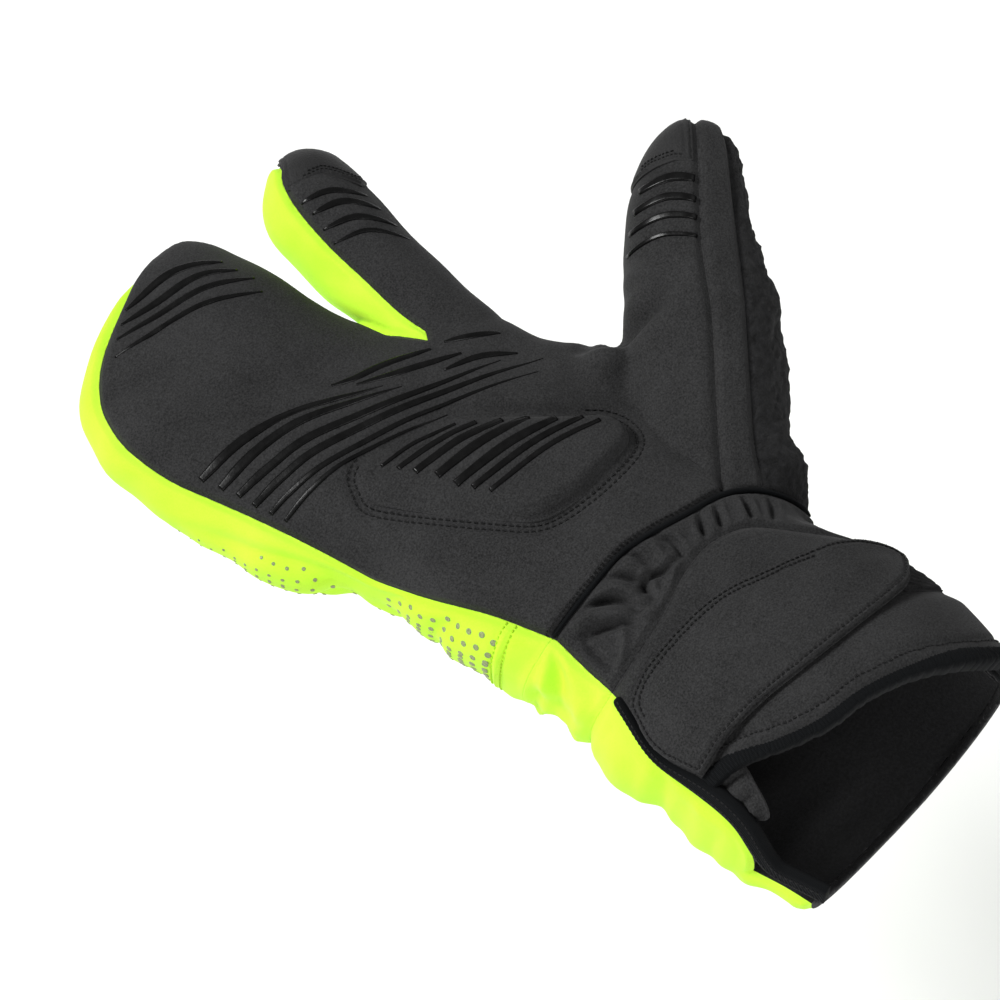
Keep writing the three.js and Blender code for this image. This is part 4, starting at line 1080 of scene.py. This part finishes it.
palm = panel("palm_softshell", palm_skin, palm_relief, BLACK, "softshell", "palm_panel")
panel("thumb_side_softshell", thumb_skin, side_relief, BLACK, "softshell", "thumb_side_panel")
panel("thumb_fleece", fleece_skin, fleece_relief, FLEECE, "wiping_fleece", "thumb_wiping_panel")
back = panel("back_softshell", back_skin, back_relief, NEON, "hi_vis_cloth", "back_panel", PIPING_LINE)
panel("gather_palm", gather_palm_skin, gather_relief, BLACK, "softshell", "wrist_gather_palm", fine=True)
panel("gather_back", gather_back_skin, gather_back_relief, NEON, "hi_vis_cloth", "wrist_gather_back",
      PIPING_LINE)
cuff_palm = panel("cuff_palm_softshell", cuff_palm_skin, cuff_relief, BLACK, "softshell", "cuff_palm")
panel("cuff_back_softshell", cuff_back_skin, cuff_back_relief, NEON, "hi_vis_cloth", "cuff_back")


# Pieces laid on the cloth
def overlay(name, skin, values, over, under, cloth, slot, node, rings=(0.4, 0.9, 1.6)):
    """A piece cut from the skin where a field is positive, between two heights over it."""
    part = skin.halves(values)[0].refined()
    for ring in rings:
        part, _ = part.cut(part.rim_distance() - ring, 0.03)
    distance = part.rim_distance(20)
    surface = part.raised(over(part, distance))
    depth = np.broadcast_to(under(part, distance) if callable(under) else under, len(part.points))
    below = part.points + part.normals * depth[:, None]
    piece = settle(add_piece(name, *closed(surface, below), [cloth]), slot, node)
    return piece, surface, distance


def rounded(distance, radius):
    """The rise of a rounded edge, from 0 on the rim to 1 at its radius."""
    share = np.clip(distance / radius, 0, 1)
    return np.sqrt(1 - (1 - share) ** 2)


# The pad under the palm's cloth: steep towards the wrist and the thumb, running out towards the lobe
PAD_HEIGHT = 3.7
PAD_CENTRE = on_hand([(0.08, 1.58)])[0]
PAD_STEEP = np.array([0.62, -0.78])
PAD_HALF = 38.0
PAD_REACH = 14.0
PAD_REACH_LOST = 10.6
PAD_CALM_ROUNDS = 10


def pad_top(part, distance):
    toward = (part.points[:, :2] - PAD_CENTRE) @ PAD_STEEP / PAD_HALF
    reach = PAD_REACH - PAD_REACH_LOST * ease(toward + 0.55)
    high = PAD_HEIGHT * (1 + 0.5 * ease(toward + 0.1))
    height = 0.1 + high * ease(distance / reach) ** 0.85 - 0.5 * (1 - ease(distance / 1.2))
    return part.averaged(height, PAD_CALM_ROUNDS)


pad, pad_surface, _ = overlay(
    "palm_pad_cover", palm_skin, within(PAD_OUTLINE, palm_skin.points), pad_top, -0.9, BLACK, "softshell",
    "palm_pad")

INDEX_TIP = on_index([(-0.24, 0.857), (0.16, 0.82), (0.38, 0.727), (0.7, 0.779), (0.5, 1.142),
                      (-0.05, 1.142), (-0.12, 0.966)])
THUMB_TIP = on_thumb([(-0.6, 0.761), (-0.29, 0.797), (-0.15, 0.807), (-0.03, 0.797), (-0.03, 1.131),
                      (-0.6, 1.131)])
THUMB_TIP_LEVEL = 14.0
PATCH_HEIGHT = 0.75
PATCH_FLOOR = -0.5


def patch_top(part, distance):
    return 0.15 + PATCH_HEIGHT * rounded(distance, 0.8) - 0.25 * bell(distance - 1.7, 0.5)


_, index_tip, index_tip_rim = overlay(
    "index_touch_patch", hand_skin,
    np.minimum(above(INDEX_TIP, hand_skin.points, INDEX_ROOT[2]), palm_field(hand_skin.points) - 0.6),
    patch_top, PATCH_FLOOR, PATCH, "touch_patch", "index_tip_patch")
_, thumb_tip, thumb_tip_rim = overlay(
    "thumb_touch_patch", hand_skin, above(THUMB_TIP, hand_skin.points, THUMB_TIP_LEVEL),
    patch_top, PATCH_FLOOR, PATCH, "touch_patch", "thumb_tip_patch")

EDGE_TOP, EDGE_END = 89.0, 3.0
EDGE_NARROW, EDGE_WIDE = 1.4, 3.1
EDGE_NARROW_RUN, EDGE_GROWING_RUN = 12.0, 34.0


def edge_reach(y):
    """Half the tape's width, which grows towards the hem."""
    return EDGE_NARROW + (EDGE_WIDE - EDGE_NARROW) * ease((EDGE_TOP - EDGE_NARROW_RUN - y) / EDGE_GROWING_RUN)


def on_cuff_edge(points):
    return (points[:, 0] < 0) & (points[:, 1] > EDGE_END) & (points[:, 1] < EDGE_TOP)


# The closure tab: its upper edge is sewn down, and its lower edge and end lie loose
TAB_THICKNESS = 2.2
TAB_LIFT = 2.0
TAB_ROW = 1.7
SEWN_ROW = 3.5
TAB_SEWN_LINE = spline(on_hand(TAB_SEWN_EDGE), 4)


def sewn_share(part):
    """1 on the tab's sewn edge, and less away from it."""
    return bell(side_of(TAB_SEWN_LINE, part.points), 7)


def tab_under(part, distance):
    return 0.7 + TAB_LIFT * (1 - sewn_share(part)) * (1 - 0.4 * ease(distance / 8))


def tab_top(part, distance):
    sewn = sewn_share(part)
    rows = bell(distance - TAB_ROW, 0.5) + sewn * bell(distance - SEWN_ROW, 0.5)
    ridge = bell(distance - (TAB_ROW + SEWN_ROW) / 2, 0.5)
    return (tab_under(part, distance) + TAB_THICKNESS * rounded(distance, 1.3) - 0.5 * rows
            + 0.45 * sewn * ridge + 0.35 * waves(part.points, 30, 13) + 0.8 * ease((distance - 4) / 10))


beside_tape = wrist_field(wrist_skin.points) - 2 * edge_reach(wrist_skin.points[:, 1]) + 0.9
tab_field = np.minimum(above(TAB_OUTLINE, wrist_skin.points, SEAM_LEVEL), beside_tape)
_, tab, tab_rim = overlay("closure_tab_softshell", wrist_skin, tab_field, tab_top, tab_under, BLACK,
                          "softshell", "closure_tab", (0.4, 0.9, 1.3, 2.2, 3.5))

LOOP_OUTLINE = on_hand([(0.36, 0.47), (0.47, 0.5), (0.49, 0.36), (0.475, 0.3), (0.42, 0.33), (0.36, 0.39)])
LOOP_RIB = 1.7


def loop_top(part, distance):
    ribs = np.sin(2 * math.pi * (part.points[:, :2] @ np.array([0.8, 0.6])) / LOOP_RIB)
    return 1.3 + 0.7 * rounded(distance, 0.7) + 0.25 * ribs * ease(distance)


overlay("loop_tape_pile", wrist_skin, above(LOOP_OUTLINE, wrist_skin.points, SEAM_LEVEL), loop_top, 0.4,
        FLEECE, "loop_pile", "loop_tape")

GUSSET_OUTLINE = closed_spline(on_hand([
    (-0.43, 0.58), (-0.38, 0.6), (-0.33, 0.55), (-0.345, 0.49), (-0.37, 0.43), (-0.395, 0.37),
    (-0.42, 0.34), (-0.44, 0.4), (-0.435, 0.5)]), 4)
GUSSET_THICKNESS = 1.4
GUSSET_LEVEL = 4.0


def gusset_top(part, distance):
    folds = np.abs(np.sin(math.pi * (part.points[:, :2] @ np.array([0.45, 0.9])) / 7.5)) ** 0.7
    return -3.4 + 2.4 * folds * ease(distance / 3)


def gusset_floor(part, distance):
    return gusset_top(part, distance) - GUSSET_THICKNESS


overlay("vent_gusset_fold", wrist_skin, above(GUSSET_OUTLINE, wrist_skin.points, GUSSET_LEVEL), gusset_top,
        gusset_floor, BLACK, "softshell", "vent_gusset")


# Ribbons: a domed strip that follows a line on a surface
RAY_START = 200.0


def dropped(tree, line):
    """Points of a line in plan, dropped on a surface from above, with the surface's normals."""
    hits = [tree.ray_cast((x, y, RAY_START), (0, 0, -1)) for x, y in line]
    return tuple(np.array([hit[k] for hit in hits if hit[0] is not None]) for k in range(2))


def ribbon(tree, points, normals, half, height, under=-0.3, across=9, square=2.6):
    """A domed strip along a line, whose half width and height have a value for each point."""
    normals = unit(calmed(normals, 4))
    sideways = unit(np.cross(unit(np.gradient(points, axis=0)), normals))
    rings = []
    for point, normal, aside, reach, rise in zip(points, normals, sideways, half, height):
        ring = []
        for share in np.linspace(-1, 1, across):
            guess = point + aside * reach * share
            seat = np.array(tree.find_nearest(guess)[0]) if tree else guess
            ring.append(seat + normal * rise * (1 - abs(share) ** square) ** (1 / square))
        floor = [seat_end + normal * under for seat_end in (ring[-1], ring[0])]
        rings.append(ring + floor)
    return np.array(rings)


def even(line, spacing):
    line = np.column_stack([line, np.zeros(len(line))])
    return resampled(line, np.ones_like(line), spacing)[0][:, :2]


# Grip prints: the widest half width in mm, then the line in shares of the hand or of a stall
PALM_GRIPS = [
    (1.7, [(-0.53, 2.241), (-0.33, 2.199), (-0.14, 2.105), (0.1, 1.93)]),
    (1.77, [(-0.52, 2.157), (-0.32, 2.126), (-0.13, 2.042), (0.13, 1.89)]),
    (1.56, [(-0.51, 2.084), (-0.37, 2.052), (-0.18, 1.99), (0.13, 1.855), (0.41, 1.74)]),
    (1.5, [(-0.51, 2.01), (-0.37, 1.99), (-0.19, 1.95), (0.14, 1.82), (0.5, 1.66)]),
    (1.02, [(-0.5, 1.96), (-0.4, 1.95), (-0.22, 1.91), (0.13, 1.785), (0.44, 1.645)]),
    (0.82, [(-0.49, 1.92), (-0.36, 1.91), (-0.17, 1.87), (0.13, 1.755)]),
]
WEB_GRIPS = [
    (1.36, [(0.01, 2.063), (0.08, 2.01), (0.18, 1.97), (0.32, 1.9)]),
    (1.22, [(0.06, 1.99), (0.15, 1.935), (0.24, 1.89), (0.36, 1.83)]),
    (1.09, [(0.27, 1.835), (0.36, 1.8), (0.41, 1.77), (0.47, 1.72)]),
    (1.22, [(0.37, 1.885), (0.44, 1.84), (0.51, 1.79)]),
]
PAD_GRIPS = [
    (0.68, [(-0.16, 1.8), (-0.02, 1.77), (0.11, 1.72)]),
    (1.09, [(-0.14, 1.76), (0.01, 1.73), (0.15, 1.68)]),
    (1.5, [(-0.12, 1.72), (0.05, 1.685), (0.2, 1.63)]),
    (1.63, [(-0.09, 1.67), (0.09, 1.635), (0.25, 1.58)]),
    (1.63, [(-0.08, 1.62), (0.12, 1.58), (0.29, 1.52)]),
    (1.22, [(-0.06, 1.58), (0.15, 1.535), (0.34, 1.47)]),
    (0.95, [(-0.04, 1.54), (0.17, 1.495), (0.36, 1.43)]),
]
LOBE_GRIPS = [
    (1.63, [(-0.15, 2.911), (0.02, 2.88), (0.11, 2.828), (0.2, 2.733)]),
    (1.5, [(-0.21, 2.88), (-0.07, 2.828), (0.09, 2.765), (0.2, 2.66)]),
    (1.22, [(-0.27, 2.849), (-0.12, 2.786), (0.05, 2.712), (0.21, 2.587)]),
    (0.95, [(-0.33, 2.807), (-0.18, 2.744), (0, 2.665), (0.18, 2.524)]),
]
INDEX_GRIPS = [
    (1.22, [(-0.2, 0.784), (0.08, 0.758), (0.33, 0.685)]),
    (1.36, [(-0.2, 0.732), (0.1, 0.701), (0.33, 0.623)]),
    (1.22, [(-0.23, 0.67), (0.08, 0.633), (0.33, 0.55)]),
    (0.82, [(-0.25, 0.613), (0.06, 0.576), (0.33, 0.488)]),
]
THUMB_GRIPS = [
    (1.77, [(-0.39, 0.73), (-0.2, 0.751), (-0.03, 0.74)]),
    (1.5, [(-0.43, 0.663), (-0.22, 0.684), (-0.03, 0.668)]),
    (1.22, [(-0.46, 0.602), (-0.23, 0.622), (-0.03, 0.607)]),
    (0.82, [(-0.48, 0.54), (-0.25, 0.56), (-0.03, 0.545)]),
]
GRIP_HEIGHT = 0.65
GRIP_LEAST = 0.18
GRIP_SQUARE = 4.5
GRIP_STEP = 0.8


def long_taper(share):
    return np.minimum(1, 0.72 + 3 * share) * (1 - share ** 2.4) ** 0.8


def blunt(share):
    return 0.8 + 0.2 * np.sin(math.pi * share)


def spindle(share):
    return arch(share, 0.04, 0.5)


def grips(name, rows, place, tree, shape, nodes):
    """One set of printed lines: its shape gives each line's width along its length."""
    parts = []
    for widest, shares in rows:
        points, normals = dropped(tree, even(spline(place(shares), 10), GRIP_STEP))
        half = np.maximum(widest * shape(np.linspace(0, 1, len(points))), GRIP_LEAST)
        parts.append(loft(ribbon(tree, points, normals, half, GRIP_HEIGHT * np.minimum(1, half + 0.1),
                                 square=GRIP_SQUARE)))
    settle(add_piece(name, *joined(parts), [SILICONE]), "silicone_grip",
           *(f"{nodes}_{index + 1}" for index in range(len(rows))))


palm_tree = palm.tree()
pad_tree = Skin(np.vstack([palm.points, pad_surface.points]),
                np.vstack([palm.faces, pad_surface.faces + len(palm.points)])).tree()
for place_name, rows, place, tree, shape in (
        ("palm", PALM_GRIPS, on_hand, palm_tree, long_taper), ("web", WEB_GRIPS, on_hand, palm_tree, spindle),
        ("pad", PAD_GRIPS, on_hand, pad_tree, blunt), ("lobe", LOBE_GRIPS, on_hand, palm_tree, spindle),
        ("index", INDEX_GRIPS, on_index, palm_tree, spindle),
        ("thumb", THUMB_GRIPS, on_thumb, palm_tree, blunt)):
    grips(place_name + "_grip_prints", rows, place, tree, shape, place_name + "_grip")


# Bindings and piping
def part_of(line, keep):
    """The longest run of a line whose points are kept."""
    points, normals = line
    kept = keep(points)
    if kept.all():
        return points, normals
    turn = int(np.argmin(kept))
    points, normals, kept = (np.roll(array, -turn, 0) for array in (points, normals, kept))
    stops = np.flatnonzero(np.diff(np.concatenate([[0], kept.astype(int), [0]])))
    start, end = max(zip(stops[::2], stops[1::2]), key=lambda run: run[1] - run[0])
    return points[start:end], normals[start:end]


def above_seam(points):
    return points[:, 2] > side_level(points) + 0.5


def left_to_right(line):
    points, normals = line
    return line if points[0][0] < points[-1][0] else (points[::-1], normals[::-1])


TAPE_OVERHANG = 0.6
PIPING_RADIUS = 0.85
PIPING_SUNK = 0.35


def beside_palm(points):
    return above_seam(points) & (points[:, 0] > HAND_ULNAR_SEAM[0][0] - TAPE_OVERHANG)


def add_tape(name, rings, node):
    settle(add_piece(name, *loft(rings), [TAPE]), "binding_tape", node)


def add_piping():
    """The welt in the seam above the gathers; its path is given back."""
    path = left_to_right(part_of(isolines(body, side_of(PIPING_LINE, body.points))[0], beside_palm))
    points, normals = resampled(*path, 0.9)
    points = calmed(points, 6)
    half = PIPING_RADIUS * arch(np.linspace(0, 1, len(points)), 0.012, 0.15)
    rings = ribbon(None, points - normals * PIPING_SUNK, normals, half, half * 1.3, -1.2, 11, 2.0)
    add_tape("wrist_piping_welt", rings, "wrist_piping")
    return path


RIB_HEIGHT = 0.14
RIB_POINTS = 4
TAPE_HEIGHT = 1.7


def add_hem():
    """The ribbed tape over the palm's hem; the hem's own line is given back."""
    run = left_to_right(part_of(isolines(wrist_skin, side_of(PALM_HEM, wrist_skin.points))[0], above_seam))
    away = distance_to(resampled(*run, 0.4)[0], cuff_palm_skin.points, 30)
    line = isolines(cuff_palm_skin, away - HEM_WIDTH / 2 + TAPE_OVERHANG)[0]
    line = left_to_right(part_of(line, lambda places: wrist_field(places) > 2.5))
    points, normals = resampled(*line, 0.3)
    high = TAPE_HEIGHT + RIB_HEIGHT * np.sin(2 * math.pi * np.arange(len(points)) / RIB_POINTS)
    half = np.full(len(points), HEM_WIDTH / 2)
    add_tape("cuff_hem_tape", ribbon(None, calmed(points, 8), normals, half, high, -3.8, 13, 3.0),
             "cuff_hem_binding")
    return run


EDGE_HIGH, EDGE_LOW = 3.5, 2.0
EDGE_CALM_ROUNDS = 14
EDGE_STITCHES = (4, 10)


def add_edge():
    """The tape down the cuff's ulnar edge; the two lines of its stitches are given back."""
    inset = edge_reach(wrist_skin.points[:, 1]) - TAPE_OVERHANG
    lines = isolines(wrist_skin, wrist_field(wrist_skin.points) - inset)
    run = max((part_of(line, on_cuff_edge) for line in lines),
              key=lambda line: len(line[0]) * (line[0][:, 0].mean() < 0))
    points, normals = (calmed(array, EDGE_CALM_ROUNDS) for array in resampled(*run, 0.6))
    if points[0][1] < points[-1][1]:
        points, normals = points[::-1], normals[::-1]
    share = np.linspace(0, 1, len(points))
    half = edge_reach(points[:, 1]) * np.maximum(rounded(share, 0.03), 0.2)
    high = (EDGE_HIGH - (EDGE_HIGH - EDGE_LOW) * share) * np.maximum(rounded(share, 0.05), 0.3)
    rings = ribbon(None, points, normals, half, high, -1.6, 15, 3.2)
    add_tape("cuff_edge_tape", rings, "cuff_edge_binding")
    return [(rings[4:-4, place], normals[4:-4]) for place in EDGE_STITCHES]


piping_path = add_piping()
hem_run = add_hem()
edge_rows = add_edge()


# Stitches: short rounded dashes of thread that dip into the cloth at both ends
STITCH_RINGS = [(-0.5, -0.3, 0.4), (-0.34, 0.06, 0.9), (0, 0.2, 1.0), (0.34, 0.06, 0.9), (0.5, -0.3, 0.4)]
STITCH_SHARE = 0.78


def stitches(line, pitch, radius, offset=0.12):
    """Dashes along a line on a surface, as points and faces."""
    points, normals = resampled(*line, pitch)
    parts = []
    for start, end, up in zip(points[:-1], points[1:], normals[:-1]):
        run = end - start
        length = np.linalg.norm(run)
        if length < 1e-6:
            continue
        aside = np.cross(run / length, up)
        aside /= max(np.linalg.norm(aside), 1e-9)
        middle, ring = (start + end) / 2, radius * circle(aside, up, 6)
        parts.append(loft(np.array([middle + run * STITCH_SHARE * along + up * (rise + offset) + ring * size
                                    for along, rise, size in STITCH_RINGS])))
    return parts


def sewn(skin, values, pitch, radius, keep=None, shortest=20):
    """Stitches along the lines where a field is zero, or along the parts of them that are kept."""
    lines = [line for line in isolines(skin, values) if len(line[0]) > shortest]
    if keep is not None:
        lines = [part_of(line, keep) for line in lines]
        lines = [line for line in lines if len(line[0]) > 6]
    return [part for line in lines for part in stitches(line, pitch, radius)]


def add_stitching(name, parts, thread, slot):
    settle(add_piece(name, *joined(parts), [thread]), slot)


PAD_TOP_EDGE = on_hand([(-0.13, 1.83), (0.09, 1.75), (0.24, 1.65), (0.36, 1.53)])
TIP_ROW_DROP = 8.0
BACK_ROW_LEVEL = -22.0
HEM_ROW_GAP = 1.2


def off_top_edge(points):
    return np.abs(side_of(PAD_TOP_EDGE, points)) > 6


def on_top_of(points):
    return points[:, 2] > points[:, 2].max() - TIP_ROW_DROP


def before_index_tip(points):
    return on_top_of(points) & (points[:, 1] < INDEX_ROOT[1] + 0.84 * INDEX_LENGTH)


def before_thumb_tip(points):
    return on_top_of(points) & (points[:, 0] - THUMB_ROOT[0] < 0.62 * THUMB_LENGTH)


def near_sewn(points):
    return np.abs(side_of(TAB_SEWN_LINE, points)) < SEWN_ROW + 1.6


def on_ulnar_side(points):
    return (points[:, 0] < 0) & (points[:, 2] > BACK_ROW_LEVEL)


pad_away = -within(PAD_OUTLINE, palm.points)
piping_away = distance_to(resampled(*piping_path, 0.5)[0], palm.points, 12)
hem_away = distance_to(resampled(*hem_run, 0.4)[0], cuff_palm.points, 30)
wrist_back_away = side_of(WRIST_BACK_SEAM, back.points)
palm_threads = sum((sewn(palm, pad_away - gap, 2.2, 0.28, off_top_edge) for gap in (1.2, 3.4)), [])
for surface, rim, keep in ((index_tip, index_tip_rim, before_index_tip),
                           (thumb_tip, thumb_tip_rim, before_thumb_tip)):
    for gap in (1.4, 2.9):
        palm_threads += sewn(surface, rim - gap, 1.9, 0.24, keep, 8)
palm_threads += sewn(palm, piping_away - 2.0, 1.7, 0.27, above_seam)
cuff_threads = (sewn(tab, tab_rim - TAB_ROW, 2.0, 0.31) + sewn(tab, tab_rim - SEWN_ROW, 2.0, 0.34, near_sewn)
                + sewn(cuff_palm, hem_away - HEM_WIDTH - HEM_ROW_GAP, 2.1, 0.27, above_seam))
for row in edge_rows:
    cuff_threads += stitches(row, 1.7, 0.2, 0.02)
back_threads = sum((sewn(back, wrist_back_away - row, 1.8, 0.26, on_ulnar_side)
                    for row in WRIST_BACK_ROWS), [])
add_stitching("palm_stitching", palm_threads, THREAD, "softshell")
add_stitching("cuff_stitching", cuff_threads, THREAD, "softshell")
add_stitching("back_stitching", back_threads, NEON_THREAD, "hi_vis_cloth")


# Reflective dots on the back, in staggered rows that grow towards the wrist, short of a fold of the edge
DOT_ROWS = (129.5, 239.0)
DOT_STEP = 4.3
DOT_SPACING = 4.9
DOT_LEAST, DOT_GROWTH = 0.4, 0.68
DOT_TURNS = np.linspace(0.62 * math.pi, 2 * math.pi, 560)
DOT_RINGS = ((1.0, -0.2), (1.0, 0.1), (0.8, 0.2), (0.35, 0.12))
DOT_RIM_GAP = 2.6
DOT_ROW_LEAST = 20
DOT_OFF_CLOTH = 0.5
DOT_BORDER = hand_line([(-0.69, 2.3), (-0.672, 2.167), (-0.615, 1.934), (-0.533, 1.785),
                             (-0.435, 1.601), (-0.4, 1.471), (-0.37, 1.311)])


def around_back(tree, level):
    """Points and normals round the back at one distance along the glove, by rays from outside."""
    hits = []
    for angle in DOT_TURNS:
        origin = Vector((ACROSS_MIDDLE + RAY_START * math.cos(angle), level, RAY_START * math.sin(angle)))
        hits.append(tree.ray_cast(origin, Vector((ACROSS_MIDDLE, level, 0)) - origin))
    return tuple(np.array([hit[k] for hit in hits if hit[0] is not None]) for k in range(2))


def dot(place, up, radius):
    aside = np.cross(up, (0, 1, 0))
    aside /= np.linalg.norm(aside)
    ring = radius * circle(aside, np.cross(aside, up), 12)
    return loft(np.array([place + ring * reach + up * rise for reach, rise in DOT_RINGS]))


def add_dots():
    tree = back.tree()
    rim = back.points[back.rim()[:, 0]]
    parts = []
    for row, level in enumerate(np.arange(*DOT_ROWS, DOT_STEP)):
        points, normals = around_back(tree, level)
        if len(points) < DOT_ROW_LEAST:
            continue
        places, facing = resampled(points, normals, DOT_SPACING / 2)
        radius = DOT_LEAST + DOT_GROWTH * (1 - (level - DOT_ROWS[0]) / (DOT_ROWS[1] - DOT_ROWS[0]))
        for place, up in list(zip(places, facing))[row % 2::2]:
            above_fold = up[2] > -0.2 and side_of(DOT_BORDER, place[None])[0] > 0
            off_cloth = tree.find_nearest(Vector(place))[3] > DOT_OFF_CLOTH
            if not (above_fold or off_cloth or np.linalg.norm(rim - place, axis=1).min() < DOT_RIM_GAP):
                parts.append(dot(place, up, radius))
    settle(add_piece("reflective_dots", *joined(parts), [INK]), "hi_vis_cloth")


add_dots()


# Stage and lights
FLOOR_HALF = 6.0
LIGHTS_AIM = Vector((0.02, 0.15, 0.0))
# Lights: name, place in metres, diameter in metres, watts
LIGHTS = [("key", (-0.75, 2.2, 2.3), 1.0, 106), ("fill", (0.9, -0.5, 1.2), 1.2, 3),
          ("rim", (-0.9, -0.6, 0.7), 0.8, 9)]
WORLD_STRENGTH = 0.36


def area_light(name, place, size, power):
    data = bpy.data.lights.new(name, "AREA")
    data.shape = "DISK"
    data.size = size
    data.energy = power
    light = bpy.data.objects.new(name, data)
    bpy.context.scene.collection.objects.link(light)
    light.location = place
    light.rotation_mode = "QUATERNION"
    light.rotation_quaternion = (LIGHTS_AIM - Vector(place)).to_track_quat("-Z", "Y")


def make_stage():
    corners = FLOOR_HALF * np.array([(-1, -1, 0), (1, -1, 0), (1, 1, 0), (-1, 1, 0)])
    m = Nodes("pale_floor", specular=0.2)
    grain = m.noise(3, 2.0)
    m.paint(grain, (0.3, (0.9, 0.9, 0.9)), (0.7, (0.93, 0.93, 0.93)), grain, (0.85, 0.95))
    floor = add_piece("floor", corners / MM + np.array([0, 0, FLOOR_LEVEL]), [(0, 1, 2, 3)], [m.material],
                      smooth=False)


make_camera()
make_stage()
for light in LIGHTS:
    area_light(*light)
world = bpy.data.worlds.new("studio")
bpy.context.scene.world = world
world.use_nodes = True
world.node_tree.nodes["Background"].inputs["Color"].default_value = (1, 1, 1, 1)
world.node_tree.nodes["Background"].inputs["Strength"].default_value = WORLD_STRENGTH
bpy.context.scene.view_settings.view_transform = "Standard"
